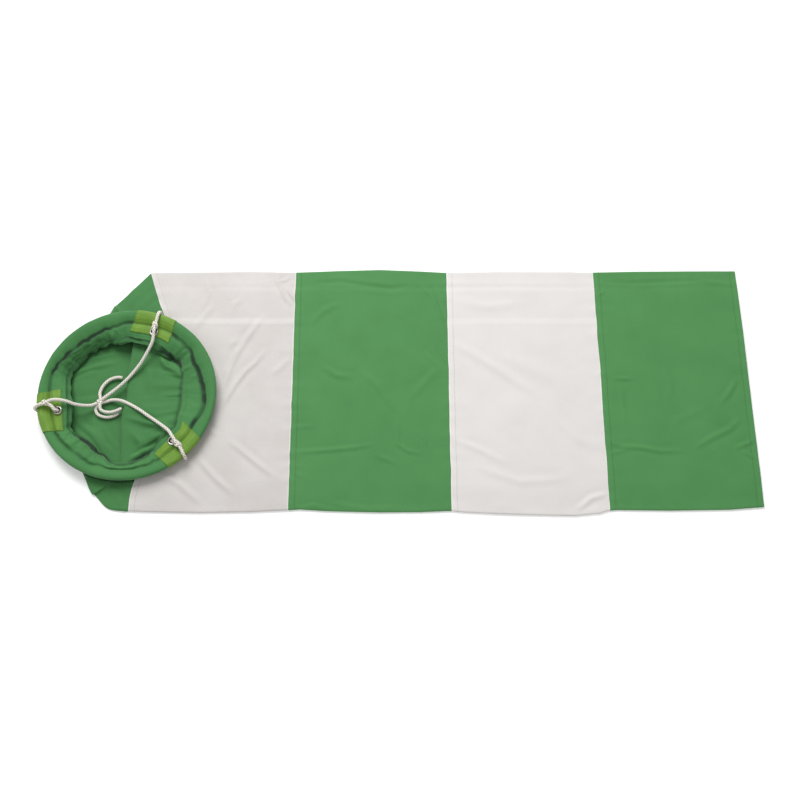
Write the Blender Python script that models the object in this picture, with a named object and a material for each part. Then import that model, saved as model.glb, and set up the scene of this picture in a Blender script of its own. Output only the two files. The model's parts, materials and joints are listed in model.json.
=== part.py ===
"""Windsock laid flat: a striped fabric tube, its mouth hoop folded face up, and a cord bridle.

Frame: metres, +Z up, origin on the floor under the middle of the windsock.
+X runs from the hoop to the open tail, +Y is the far side edge of the flattened tube.
The fabric shells are drawn thicker than real cloth, so that each one is a sound solid.
"""

import math

import bpy
import bmesh
from mathutils import Matrix, Vector

# Gap kept between neighbouring solids.
GAP = 0.0003

# Flattened fabric tube.
HALF_WIDTH = 0.218
TUBE_TOP = 0.009
FABRIC_WALL = 0.001
SEAM_PINCH = 0.001
SEAM_FLAT = 0.014
SEAM_RAMP = 0.006
END_FLAT = 0.003
EDGE_STEPS = 4

# Seams between the fabric panels, from the hoop to the tail.
SEAM_1_X = -0.437
SEAM_2_X = -0.177
SEAM_3_X = 0.090
SEAM_4_X = 0.351

# Rows of stitching, each a flat loop of thread around the tube.
STITCH_INSET = 0.010
STITCH_WIDTH = 0.001
STITCH_THICKNESS = 0.0005

# Mouth hoop: a tubular rod ring inside a folded fabric band.
HOOP_CENTRE = Vector((-0.4525, -0.020, 0.0265))
HOOP_TILT = math.radians(2.0)
ROD_RADIUS = 0.004
ROD_WALL = 0.0015
RING_RADIUS = 0.1455
RING_SPLIT_ANGLE = math.radians(255.0)
RING_SPLIT_GAP = 0.0008
PIN_RADIUS = 0.0018
PIN_HALF_LENGTH = 0.020
BAND_WALL = 0.0012
BAND_INNER_RADIUS = 0.097
BAND_CHANNEL_RADIUS = 0.126
BAND_LEAF_OFFSET = 0.0009
SLEEVE_RADIUS = ROD_RADIUS + GAP + BAND_WALL / 2
HOOP_STEPS = 48

# Cloth patches that reinforce the band where the three cords pass through.
PATCH_INNER_RADIUS = 0.106
PATCH_LENGTH = 0.070
PATCH_OFFSET = BAND_WALL + GAP
PATCH_OUTER_RADIUS = RING_RADIUS + SLEEVE_RADIUS + PATCH_OFFSET + BAND_WALL / 2

# Metal eyelets and the washers that they are set over.
EYELET_RADIUS = 0.117
EYELET_HOLE_RADIUS = 0.005
EYELET_BARREL_WALL = 0.0007
EYELET_RIM_RADIUS = 0.0085
EYELET_RIM_THICKNESS = 0.0008
EYELET_CUT_RADIUS = EYELET_HOLE_RADIUS + EYELET_BARREL_WALL + GAP
STACK_HALF = BAND_LEAF_OFFSET + BAND_WALL / 2 + PATCH_OFFSET

TAIL_X = PATCH_OUTER_RADIUS - HOOP_CENTRE.x

# First panel, which collapses between the hoop and the first seam.
CONE_START_RADIUS = 0.099
CONE_START_DROP = 0.0026
CONE_SIDE_X = -0.520
CONE_STEPS_AROUND = 40
CONE_STEPS_ALONG = 9

# Bridle cords.
CORD_RADIUS = 0.00275
END_STEP = 0.0065
LEG_STEP = 0.012
LOOP_STEP = 0.0045

# Each patch: name, hoop angle of the eyelet, knot radius, knot angle, knot height and
# the route of the cord that goes from the knot over the rim and back through the eyelet.
# A route point is (radius, hoop angle in degrees, height over the hoop's plane).
PATCHES = (
    (
        "far", 71.2, (0.126, 71.3, 0.0104), (0.0080, 0.0055, 0.0050),
        (
            (0.1346, 71.6, 0.0106), (0.1400, 71.9, 0.0106), (0.1455, 72.2, 0.0105),
            (0.1530, 72.5, 0.0075), (0.1560, 72.6, 0.0000), (0.1530, 72.5, -0.0075),
            (0.1455, 72.2, -0.0105), (0.1350, 71.8, -0.0096), (0.1245, 71.4, -0.0084),
            (0.1196, 71.2, -0.0075), (0.1173, 71.2, -0.0046), (0.1170, 71.2, 0.0000),
            (0.1174, 71.2, 0.0034), (0.1190, 71.2, 0.0058),
        ),
    ),
    (
        "left", 195.2, (0.134, 188.7, 0.0115), (0.0070, 0.0055, 0.0045),
        (
            (0.1415, 189.0, 0.0112), (0.1455, 189.4, 0.0106), (0.1530, 189.8, 0.0075),
            (0.1560, 190.2, 0.0000), (0.1530, 191.0, -0.0075), (0.1455, 192.0, -0.0105),
            (0.1350, 193.6, -0.0096), (0.1245, 195.0, -0.0084), (0.1196, 195.2, -0.0075),
            (0.1173, 195.2, -0.0046), (0.1170, 195.2, 0.0000), (0.1178, 195.2, 0.0046),
            (0.1208, 194.8, 0.0082), (0.1226, 192.8, 0.0096), (0.1258, 190.9, 0.0100),
        ),
    ),
    (
        "near", 314.5, (0.130, 315.8, 0.0104), (0.0085, 0.0055, 0.0048),
        (
            (0.1390, 315.2, 0.0108), (0.1430, 314.8, 0.0107), (0.1470, 314.2, 0.0105),
            (0.1535, 313.6, 0.0072), (0.1560, 313.2, 0.0000), (0.1530, 313.2, -0.0075),
            (0.1455, 313.4, -0.0105), (0.1350, 313.9, -0.0096), (0.1245, 314.4, -0.0084),
            (0.1196, 314.5, -0.0075), (0.1173, 314.5, -0.0046), (0.1170, 314.5, 0.0000),
            (0.1175, 314.6, 0.0034), (0.1198, 314.8, 0.0056),
        ),
    ),
)

# Routes of the three bridle legs, from each knot to the knot where they are tied together.
LEG_ROUTES = {
    "far": (
        (-0.4124, 0.0890, 0.0432), (-0.4130, 0.0812, 0.0408), (-0.4148, 0.0700, 0.0378),
        (-0.4223, 0.0552, 0.0322), (-0.4329, 0.0380, 0.0259), (-0.4436, 0.0245, 0.0211),
        (-0.4559, 0.0105, 0.0175), (-0.4697, -0.0028, 0.0152), (-0.4836, -0.0143, 0.0138),
        (-0.4949, -0.0238, 0.0136),
    ),
    "left": (
        (-0.5768, -0.0365, 0.0384), (-0.5660, -0.0345, 0.0369), (-0.5508, -0.0365, 0.0346),
        (-0.5386, -0.0394, 0.0282), (-0.5264, -0.0392, 0.0208), (-0.5148, -0.0369, 0.0146),
        (-0.5074, -0.0325, 0.0112),
    ),
    "near": (
        (-0.3650, -0.1038, 0.0362), (-0.3700, -0.0965, 0.0355), (-0.3775, -0.0865, 0.0328),
        (-0.3957, -0.0722, 0.0278), (-0.4140, -0.0589, 0.0230), (-0.4319, -0.0461, 0.0200),
        (-0.4498, -0.0354, 0.0172), (-0.4655, -0.0280, 0.0138), (-0.4810, -0.0256, 0.0100),
        (-0.4926, -0.0282, 0.0080),
    ),
}

# Free ends of the three cords beyond the knot that ties them together.
TAIL_ROUTES = {
    "far": (
        (-0.5017, -0.0213, 0.0100), (-0.5035, -0.0126, 0.0090), (-0.4999, 0.0000, 0.0080),
        (-0.4907, 0.0111, 0.0075), (-0.4778, 0.0163, 0.0075), (-0.4672, 0.0155, 0.0080),
    ),
    "left": (
        (-0.5062, -0.0356, 0.0075), (-0.5086, -0.0418, 0.0065), (-0.5035, -0.0508, 0.0060),
        (-0.4900, -0.0552, 0.0060), (-0.4778, -0.0532, 0.0060), (-0.4680, -0.0472, 0.0060),
    ),
    "near": (
        (-0.5003, -0.0374, 0.0128), (-0.4984, -0.0436, 0.0118), (-0.4916, -0.0472, 0.0110),
        (-0.4811, -0.0481, 0.0112), (-0.4709, -0.0454, 0.0122), (-0.4625, -0.0413, 0.0130),
    ),
}
BRIDLE_KNOT = Vector((-0.5004, -0.0294, 0.0105))
BRIDLE_KNOT_HALF = (0.0070, 0.0070, 0.0050)


def clear_scene():
    """Remove every object that the scene starts with."""
    for obj in list(bpy.data.objects):
        bpy.data.objects.remove(obj, do_unlink=True)


def make_material(name, colour, roughness, metallic=0.0):
    """Return a Principled material with one colour."""
    material = bpy.data.materials.new(name)
    material.use_nodes = True
    shader = material.node_tree.nodes["Principled BSDF"]
    shader.inputs["Base Color"].default_value = (*colour, 1.0)
    shader.inputs["Roughness"].default_value = roughness
    shader.inputs["Metallic"].default_value = metallic
    material.diffuse_color = (*colour, 1.0)
    return material


def finish_mesh(name, mesh_data, material, smooth=True):
    """Turn a bmesh into a named object with its faces pointing out."""
    bmesh.ops.recalc_face_normals(mesh_data, faces=mesh_data.faces)
    mesh = bpy.data.meshes.new(name)
    mesh_data.to_mesh(mesh)
    mesh_data.free()
    mesh.materials.append(material)
    if smooth:
        mesh.shade_smooth()
        mesh.set_sharp_from_angle(angle=math.radians(40.0))
    obj = bpy.data.objects.new(name, mesh)
    bpy.context.collection.objects.link(obj)
    return obj


def add_wall(obj, thickness, offset, even=True):
    """Give an open skin a wall, of even thickness unless its folds are too sharp for that."""
    wall = obj.modifiers.new("wall", "SOLIDIFY")
    wall.thickness = thickness
    wall.offset = offset
    wall.use_even_offset = even


def add_cut(obj, cutter):
    """Cut one solid out of another."""
    cut = obj.modifiers.new("cut_" + cutter.name, "BOOLEAN")
    cut.object = cutter
    cut.operation = "DIFFERENCE"
    cut.solver = "EXACT"


def skin_from_loops(name, loops, material, closed=True):
    """Skin a row of loops that all have the same number of points."""
    mesh_data = bmesh.new()
    rows = [[mesh_data.verts.new(point) for point in loop] for loop in loops]
    count = len(rows[0])
    for row, after in zip(rows, rows[1:]):
        for i in range(count if closed else count - 1):
            j = (i + 1) % count
            mesh_data.faces.new((row[i], row[j], after[j], after[i]))
    return finish_mesh(name, mesh_data, material)


def tube_outline(x, half_width, bottom, top):
    """Outline of the flattened tube at one place along it, with round side folds."""
    radius = (top - bottom) / 2
    middle = (top + bottom) / 2
    points = []
    for side in (1, -1):
        for step in range(EDGE_STEPS + 1):
            turn = math.pi * step / EDGE_STEPS
            y = side * (half_width - radius + radius * math.sin(turn))
            z = middle + side * radius * math.cos(turn)
            points.append((x, y, z))
    return points


def fabric_panel(name, start, end, material):
    """One flattened tube panel, pinched a little where its seams hold it."""
    flat = (HALF_WIDTH, 0.0, TUBE_TOP)
    pinched = (HALF_WIDTH - SEAM_PINCH, SEAM_PINCH, TUBE_TOP - SEAM_PINCH)
    stations = (
        (start + GAP / 2, pinched),
        (start + SEAM_FLAT, pinched),
        (start + SEAM_FLAT + SEAM_RAMP, flat),
        (end - END_FLAT - SEAM_RAMP, flat),
        (end - END_FLAT, pinched),
        (end - GAP / 2, pinched),
    )
    if end == TAIL_X:
        hem = (
            (end - SEAM_FLAT - SEAM_RAMP, flat),
            (end - SEAM_FLAT, pinched),
            (end, pinched),
        )
        stations = stations[:3] + hem
    loops = [tube_outline(x, *section) for x, section in stations]
    panel = skin_from_loops(name, loops, material)
    add_wall(panel, FABRIC_WALL, -1.0)
    return panel


def stitch_loop(name, x, material):
    """A row of stitching that runs once around the flattened tube."""
    edge = SEAM_PINCH - GAP - STITCH_THICKNESS
    section = (HALF_WIDTH - edge, edge, TUBE_TOP - edge)
    ends = (x - STITCH_WIDTH / 2, x + STITCH_WIDTH / 2)
    loops = [tube_outline(place, *section) for place in ends]
    stitches = skin_from_loops(name, loops, material)
    add_wall(stitches, STITCH_THICKNESS, -1.0)
    return stitches


def hoop_frame():
    """Placement of the hoop: its centre, and its far side tipped up."""
    return Matrix.Translation(HOOP_CENTRE) @ Matrix.Rotation(HOOP_TILT, 4, "X")


def hoop_point(radius, degrees, height):
    """A point given by radius, angle and height over the hoop's plane."""
    angle = math.radians(degrees)
    local = Vector((radius * math.cos(angle), radius * math.sin(angle), height))
    return hoop_frame() @ local


def spin_profile(name, profile, start, sweep, material, profile_closed=False):
    """Turn a (radius, height) profile about the hoop's axis."""
    full = sweep >= 2 * math.pi - 1e-6
    steps = max(4, round(HOOP_STEPS * sweep / (2 * math.pi)))
    columns = []
    for step in range(steps if full else steps + 1):
        angle = start + sweep * step / steps
        cosine = math.cos(angle)
        sine = math.sin(angle)
        columns.append([(r * cosine, r * sine, z) for r, z in profile])
    if full:
        mesh_data = bmesh.new()
        rows = [[mesh_data.verts.new(point) for point in column] for column in columns]
        for row, after in zip(rows, rows[1:] + rows[:1]):
            count = len(row)
            for i in range(count if profile_closed else count - 1):
                j = (i + 1) % count
                mesh_data.faces.new((row[i], row[j], after[j], after[i]))
        obj = finish_mesh(name, mesh_data, material)
    else:
        obj = skin_from_loops(name, columns, material, closed=profile_closed)
    obj.matrix_world = hoop_frame()
    return obj


def circle_profile(radius, steps):
    """Round section about the ring's centre line."""
    turns = [2 * math.pi * step / steps for step in range(steps)]
    return [(RING_RADIUS + radius * math.cos(t), radius * math.sin(t)) for t in turns]


def band_profile(inner_radius, offset):
    """Folded strip around the rod: two flat leaves that open into a round sleeve."""
    sleeve = SLEEVE_RADIUS + offset
    leaf = BAND_LEAF_OFFSET + offset
    tangent = math.radians(101.0)
    steps = 8
    profile = [(inner_radius, leaf), (BAND_CHANNEL_RADIUS, leaf)]
    for step in range(steps + 1):
        turn = tangent - 2 * tangent * step / steps
        profile.append((RING_RADIUS + sleeve * math.cos(turn), sleeve * math.sin(turn)))
    profile += [(BAND_CHANNEL_RADIUS, -leaf), (inner_radius, -leaf)]
    return profile


def eyelet_cutter(name, degrees):
    """Round cutter for the hole that an eyelet is set in."""
    depth = 4 * STACK_HALF
    bpy.ops.mesh.primitive_cylinder_add(vertices=16, radius=EYELET_CUT_RADIUS, depth=depth)
    cutter = bpy.context.active_object
    cutter.name = name
    angle = math.radians(degrees)
    place = (EYELET_RADIUS * math.cos(angle), EYELET_RADIUS * math.sin(angle), 0.0)
    cutter.matrix_world = hoop_frame() @ Matrix.Translation(place)
    cutter.hide_render = True
    cutter.display_type = "WIRE"
    return cutter


def hoop_ring(materials):
    """Tubular rod bent to a ring, open at one place, and the pin that joins its ends."""
    split = RING_SPLIT_GAP / RING_RADIUS
    start = RING_SPLIT_ANGLE + split / 2
    ring = spin_profile(
        "hoop_ring", circle_profile(ROD_RADIUS, 8), start, 2 * math.pi - split,
        materials["rod"], profile_closed=True,
    )
    add_wall(ring, ROD_WALL, -1.0)
    half = PIN_HALF_LENGTH / RING_RADIUS
    pin = spin_profile(
        "hoop_joint_pin", circle_profile(PIN_RADIUS, 8), RING_SPLIT_ANGLE - half, 2 * half,
        materials["pin"], profile_closed=True,
    )
    cap_ends(pin)
    return ring, pin


def cap_ends(obj):
    """Close the open ends of a swept tube with flat faces."""
    mesh_data = bmesh.new()
    mesh_data.from_mesh(obj.data)
    edges = [edge for edge in mesh_data.edges if edge.is_boundary]
    bmesh.ops.holes_fill(mesh_data, edges=edges, sides=0)
    bmesh.ops.recalc_face_normals(mesh_data, faces=mesh_data.faces)
    mesh_data.to_mesh(obj.data)
    mesh_data.free()


def mouth_band(cutters, materials):
    """Folded fabric band around the ring, and the stitching along its inner edge."""
    band = spin_profile(
        "mouth_band", band_profile(BAND_INNER_RADIUS, 0.0), 0.0, 2 * math.pi,
        materials["green"],
    )
    add_wall(band, BAND_WALL, 0.0)
    for cutter in cutters:
        add_cut(band, cutter)
    inner = BAND_INNER_RADIUS + 0.0045
    bottom = BAND_LEAF_OFFSET + BAND_WALL / 2 + GAP
    outer = inner + STITCH_WIDTH
    top = bottom + STITCH_THICKNESS
    profile = [(inner, bottom), (outer, bottom), (outer, top), (inner, top)]
    stitches = spin_profile(
        "mouth_stitching", profile, 0.0, 2 * math.pi, materials["thread"],
        profile_closed=True,
    )
    return band, stitches


def rim_patch(name, degrees, cutter, materials):
    """Reinforcing patch folded over the rim at one eyelet."""
    sweep = PATCH_LENGTH / PATCH_OUTER_RADIUS
    start = math.radians(degrees) - sweep / 2
    profile = band_profile(PATCH_INNER_RADIUS, PATCH_OFFSET)
    patch = spin_profile(name, profile, start, sweep, materials["lime"])
    add_wall(patch, BAND_WALL, 0.0)
    add_cut(patch, cutter)
    return patch


def turned_ring(name, profile, degrees, material):
    """A small turned part about the axis of one eyelet."""
    steps = 16
    mesh_data = bmesh.new()
    rows = []
    for step in range(steps):
        angle = 2 * math.pi * step / steps
        row = [(r * math.cos(angle), r * math.sin(angle), z) for r, z in profile]
        rows.append([mesh_data.verts.new(point) for point in row])
    count = len(profile)
    for row, after in zip(rows, rows[1:] + rows[:1]):
        for i in range(count):
            j = (i + 1) % count
            mesh_data.faces.new((row[i], row[j], after[j], after[i]))
    part = finish_mesh(name, mesh_data, material)
    angle = math.radians(degrees)
    place = (EYELET_RADIUS * math.cos(angle), EYELET_RADIUS * math.sin(angle), 0.0)
    part.matrix_world = hoop_frame() @ Matrix.Translation(place)
    return part


def eyelet(side, degrees, materials):
    """Metal eyelet with a flange above the patch, and its washer below."""
    barrel = EYELET_HOLE_RADIUS + EYELET_BARREL_WALL
    seat = STACK_HALF + GAP
    top = seat + EYELET_RIM_THICKNESS
    foot = -top
    profile = [
        (EYELET_HOLE_RADIUS, foot), (barrel, foot), (barrel, seat),
        (EYELET_RIM_RADIUS, seat), (EYELET_RIM_RADIUS - 0.0004, top),
        (EYELET_HOLE_RADIUS, top),
    ]
    turned_ring("eyelet_" + side, profile, degrees, materials["metal"])
    inner = barrel + GAP
    washer = [
        (inner, -top), (EYELET_RIM_RADIUS, -top), (EYELET_RIM_RADIUS, -seat), (inner, -seat),
    ]
    turned_ring("eyelet_washer_" + side, washer, degrees, materials["metal"])


def mouth_cone(materials):
    """First panel: from the band's inner edge it collapses down to the first seam."""
    loops = []
    for along in range(CONE_STEPS_ALONG + 1):
        s = along / CONE_STEPS_ALONG
        loop = []
        for around in range(CONE_STEPS_AROUND):
            loop.append(cone_point(s, 2 * math.pi * around / CONE_STEPS_AROUND))
        loops.append(loop)
    cone = skin_from_loops("panel_1_green", loops, materials["green"])
    add_wall(cone, FABRIC_WALL, 0.0, even=False)
    return cone


def cone_point(s, angle):
    """Point of the first panel; s runs from the band (0) to the seam (1)."""
    cosine = math.cos(angle)
    sine = math.sin(angle)
    rim = hoop_point(CONE_START_RADIUS, math.degrees(angle), -CONE_START_DROP)
    drop = rim - Vector((0.0, 0.0, 0.014 - 0.004 * cosine))
    seam_half = (TUBE_TOP - FABRIC_WALL) / 2 - SEAM_PINCH
    seam_side = HALF_WIDTH - SEAM_PINCH - FABRIC_WALL / 2
    rise = math.copysign(abs(cosine) ** 0.25, cosine) if abs(cosine) > 1e-6 else 0.0
    seam = Vector((SEAM_1_X - GAP / 2, seam_side * sine, TUBE_TOP / 2 + seam_half * rise))
    fold = cone_fold(cosine, sine)
    t = 1.0 - s
    return t ** 3 * rim + 3 * s * t * t * drop + 3 * s * s * t * fold + s ** 3 * seam


def cone_fold(cosine, sine):
    """Point that pulls the first panel's slack outwards, most of all in its side lobes."""
    lobe = 2 * abs(sine) * max(0.0, -cosine)
    if cosine < 0.0:
        x = CONE_SIDE_X - 0.045 * cosine * cosine - 0.060 * lobe
        z = 0.002 * sine * sine - 0.003 * cosine * cosine
    else:
        x = CONE_SIDE_X + 0.020 * cosine * cosine
        z = 0.002 * sine * sine + 0.009 * cosine * cosine
    spread = 0.047 if sine > 0.0 else 0.013
    y = HOOP_CENTRE.y + 0.195 * sine + math.copysign(spread * lobe, sine)
    return Vector((x, y, z))


def smooth_route(points, step):
    """Even points along a smooth curve through a hand-chosen route."""
    path = [Vector(point) for point in points]
    path = [2 * path[0] - path[1]] + path + [2 * path[-1] - path[-2]]
    fine = []
    for a, b, c, d in zip(path, path[1:], path[2:], path[3:]):
        for i in range(12):
            t = i / 12
            straight = 2 * b + (c - a) * t
            curved = (2 * a - 5 * b + 4 * c - d) * t * t
            last = (3 * b - 3 * c + d - a) * t ** 3
            fine.append(0.5 * (straight + curved + last))
    fine.append(path[-2])
    return resample(fine, step)


def resample(points, step):
    """Points at equal distances along a fine polyline, its two ends kept."""
    lengths = [0.0]
    for a, b in zip(points, points[1:]):
        lengths.append(lengths[-1] + (b - a).length)
    count = max(2, round(lengths[-1] / step))
    even = []
    i = 0
    for k in range(count + 1):
        want = lengths[-1] * k / count
        while i < len(points) - 2 and lengths[i + 1] < want:
            i += 1
        part = (want - lengths[i]) / (lengths[i + 1] - lengths[i])
        even.append(points[i].lerp(points[i + 1], min(max(part, 0.0), 1.0)))
    return even


def cord_tube(name, points, step, material):
    """A cord as a round bevelled curve with closed ends."""
    curve = bpy.data.curves.new(name, "CURVE")
    curve.dimensions = "3D"
    curve.bevel_depth = CORD_RADIUS
    curve.bevel_resolution = 2
    curve.use_fill_caps = True
    route = smooth_route(points, step)
    spline = curve.splines.new("POLY")
    spline.points.add(len(route) - 1)
    for point, place in zip(spline.points, route):
        point.co = (*place, 1.0)
    curve.materials.append(material)
    obj = bpy.data.objects.new(name, curve)
    bpy.context.collection.objects.link(obj)
    return obj


def tied_knot(name, centre, half_sizes, rotation, material):
    """The rounded lump that a tied cord makes."""
    bpy.ops.mesh.primitive_uv_sphere_add(segments=12, ring_count=7, radius=1.0)
    knot = bpy.context.active_object
    knot.name = name
    knot.data.name = name
    size = Matrix.Diagonal((*half_sizes, 1.0))
    knot.data.transform(Matrix.Translation(centre) @ rotation @ size)
    knot.data.materials.append(material)
    knot.data.shade_smooth()
    return knot


def bridle(materials):
    """Three cords: each is tied over the rim, runs in to the middle knot and ends free."""
    cord = materials["cord"]
    for side, _, knot, half_sizes, loop in PATCHES:
        route = [hoop_point(*point) for point in loop]
        cord_tube("rim_loop_" + side, route, LOOP_STEP, cord)
        turn = Matrix.Rotation(math.radians(knot[1]), 4, "Z")
        rotation = Matrix.Rotation(HOOP_TILT, 4, "X") @ turn
        tied_knot("rim_knot_" + side, hoop_point(*knot), half_sizes, rotation, cord)
        cord_tube("bridle_leg_" + side, LEG_ROUTES[side], LEG_STEP, cord)
        cord_tube("cord_end_" + side, TAIL_ROUTES[side], END_STEP, cord)
    tied_knot("bridle_knot", BRIDLE_KNOT, BRIDLE_KNOT_HALF, Matrix.Identity(4), cord)


def main():
    """Build the windsock, one named object for each piece."""
    clear_scene()
    materials = {
        "green": make_material("green_fabric", (0.08, 0.30, 0.10), 0.85),
        "white": make_material("white_fabric", (0.75, 0.74, 0.72), 0.85),
        "lime": make_material("lime_webbing", (0.20, 0.38, 0.04), 0.8),
        "cord": make_material("white_cord", (0.80, 0.77, 0.70), 0.8),
        "thread": make_material("green_thread", (0.05, 0.22, 0.07), 0.7),
        "metal": make_material("nickel", (0.75, 0.74, 0.72), 0.25, 1.0),
        "rod": make_material("rod_plastic", (0.05, 0.05, 0.05), 0.5),
        "pin": make_material("pin_plastic", (0.60, 0.60, 0.58), 0.5),
    }
    mouth_cone(materials)
    fabric_panel("panel_2_white", SEAM_1_X, SEAM_2_X, materials["white"])
    fabric_panel("panel_3_green", SEAM_2_X, SEAM_3_X, materials["green"])
    fabric_panel("panel_4_white", SEAM_3_X, SEAM_4_X, materials["white"])
    fabric_panel("panel_5_green", SEAM_4_X, TAIL_X, materials["green"])
    seams = (SEAM_1_X, SEAM_2_X, SEAM_3_X, SEAM_4_X)
    for number, seam in enumerate(seams, start=1):
        stitch_loop(f"seam_stitching_{number}", seam + STITCH_INSET, materials["thread"])
    stitch_loop("tail_hem_stitching", TAIL_X - STITCH_INSET, materials["thread"])
    hoop_ring(materials)
    cutters = []
    for side, degrees, *_ in PATCHES:
        cutter = eyelet_cutter("cutter_" + side, degrees)
        cutters.append(cutter)
        rim_patch("rim_patch_" + side, degrees, cutter, materials)
        eyelet(side, degrees, materials)
    mouth_band(cutters, materials)
    bridle(materials)


if __name__ == "__main__":
    main()
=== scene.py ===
"""Looks of a windsock laid flat, with its mouth hoop folded face up on the striped tube.

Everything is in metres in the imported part's frame: +X runs from the hoop to the open tail,
+Y is the far side edge, +Z is up from the floor.
"""

import json
import logging
import math
from dataclasses import dataclass, field
from enum import Enum

import bmesh
import bpy
import numpy as np
from mathutils import Matrix, Vector

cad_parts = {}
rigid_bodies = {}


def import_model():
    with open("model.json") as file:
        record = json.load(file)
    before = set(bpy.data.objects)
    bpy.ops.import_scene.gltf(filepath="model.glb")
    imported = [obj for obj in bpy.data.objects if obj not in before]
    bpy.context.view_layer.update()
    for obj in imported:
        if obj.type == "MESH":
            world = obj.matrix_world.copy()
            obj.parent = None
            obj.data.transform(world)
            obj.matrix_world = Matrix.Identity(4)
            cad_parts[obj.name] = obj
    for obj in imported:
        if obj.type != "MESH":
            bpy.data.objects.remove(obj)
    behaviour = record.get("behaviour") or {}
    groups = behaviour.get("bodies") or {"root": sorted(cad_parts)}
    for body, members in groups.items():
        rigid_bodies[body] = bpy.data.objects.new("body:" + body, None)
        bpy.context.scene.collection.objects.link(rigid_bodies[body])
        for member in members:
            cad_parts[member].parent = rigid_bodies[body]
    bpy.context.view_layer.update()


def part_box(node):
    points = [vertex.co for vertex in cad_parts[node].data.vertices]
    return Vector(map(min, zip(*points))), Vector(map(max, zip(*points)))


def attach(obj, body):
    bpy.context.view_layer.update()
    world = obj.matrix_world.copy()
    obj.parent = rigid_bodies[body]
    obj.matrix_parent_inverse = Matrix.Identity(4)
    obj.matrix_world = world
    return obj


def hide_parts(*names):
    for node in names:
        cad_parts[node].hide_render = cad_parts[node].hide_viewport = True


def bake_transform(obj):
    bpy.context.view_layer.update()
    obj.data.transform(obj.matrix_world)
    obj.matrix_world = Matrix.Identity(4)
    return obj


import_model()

LOG = logging.getLogger("windsock")
MM = 0.001
LATTICE = 128            # cells of the noise pattern before it repeats

Point = tuple[float, float, float]


# ---------------------------------------------------------------- small tools


def linear(code: str) -> Point:
    """Turn an sRGB hex colour to linear light.

    Args:
        code: Six hex digits with a leading #.

    Returns:
        Linear red, green and blue.
    """
    parts = [int(code[i : i + 2], 16) / 255 for i in (1, 3, 5)]
    return tuple(c / 12.92 if c <= 0.04045 else ((c + 0.055) / 1.055) ** 2.4 for c in parts)


def rgba(code: str) -> tuple[float, float, float, float]:
    """Linear colour with full alpha, for a colour socket."""
    return (*linear(code), 1.0)


def feed(tree: bpy.types.NodeTree, node: bpy.types.Node, inputs: dict) -> None:
    """Set or link a node's inputs.

    Args:
        tree: Node tree that the node is in.
        node: Node to feed.
        inputs: Socket name or number to a value, or to the output socket that feeds it.
    """
    for key, value in inputs.items():
        if isinstance(value, bpy.types.NodeSocket):
            tree.links.new(value, node.inputs[key])
        else:
            node.inputs[key].default_value = value


def add_node(
    tree: bpy.types.NodeTree, kind: str, settings: dict | None = None, inputs: dict | None = None
) -> bpy.types.Node:
    """Add a shader node, set its options, and set or link its inputs.

    Args:
        tree: Node tree to add to.
        kind: Blender's name of the node type.
        settings: Node properties to set.
        inputs: Socket name or number to a value, or to the output socket that feeds it.

    Returns:
        The new node.
    """
    node = tree.nodes.new(kind)
    for key, value in (settings or {}).items():
        setattr(node, key, value)
    feed(tree, node, inputs or {})
    return node


def blank_material(name: str) -> tuple[bpy.types.Material, bpy.types.NodeTree, bpy.types.Node]:
    """Start a material, and give it with its node tree and its main shader."""
    material = bpy.data.materials.new(name)
    material.use_nodes = True
    tree = material.node_tree
    return material, tree, tree.nodes["Principled BSDF"]


def box_centre(node: str) -> Point:
    """Middle of a CAD node's box."""
    low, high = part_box(node)
    return tuple((a + b) / 2 for a, b in zip(low, high))


def deselect() -> None:
    """Leave nothing selected, so that an operator acts only on what comes next."""
    if bpy.context.mode != "OBJECT":
        bpy.ops.object.mode_set(mode="OBJECT")
    bpy.ops.object.select_all(action="DESELECT")


def make_active(piece: bpy.types.Object) -> None:
    """Select one object and make it the active one."""
    deselect()
    piece.select_set(True)
    bpy.context.view_layer.objects.active = piece


def apply_modifiers(piece: bpy.types.Object) -> None:
    """Apply every modifier of an object, in order."""
    make_active(piece)
    for modifier in list(piece.modifiers):
        bpy.ops.object.modifier_apply(modifier=modifier.name)


def thicken(piece: bpy.types.Object, thickness: float, offset: float = -1.0) -> None:
    """Give a skin its cloth thickness and apply it."""
    wall = piece.modifiers.new("wall", "SOLIDIFY")
    wall.thickness = thickness
    wall.offset = offset
    apply_modifiers(piece)


def smooth_step(value: np.ndarray) -> np.ndarray:
    """Ease from 0 to 1, flat at both ends."""
    t = np.clip(value, 0.0, 1.0)
    return t * t * (3.0 - 2.0 * t)


def noise(x: np.ndarray, y: np.ndarray, cell: float, seed: int) -> np.ndarray:
    """Smooth noise of about -1 to 1 on a square lattice.

    Args:
        x: First coordinate.
        y: Second coordinate, of the same shape.
        cell: Size of a lattice cell, in the coordinates' unit.
        seed: Number that picks the pattern.

    Returns:
        Noise at each point.
    """
    lattice = np.random.default_rng(seed).uniform(-1.0, 1.0, (LATTICE, LATTICE))
    u = np.asarray(x) / cell
    v = np.asarray(y) / cell
    i = np.floor(u).astype(int)
    j = np.floor(v).astype(int)
    fu = smooth_step(u - i)
    fv = smooth_step(v - j)
    a = lattice[i % LATTICE, j % LATTICE]
    b = lattice[(i + 1) % LATTICE, j % LATTICE]
    c = lattice[i % LATTICE, (j + 1) % LATTICE]
    d = lattice[(i + 1) % LATTICE, (j + 1) % LATTICE]
    return (a * (1 - fu) + b * fu) * (1 - fv) + (c * (1 - fu) + d * fu) * fv


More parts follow.
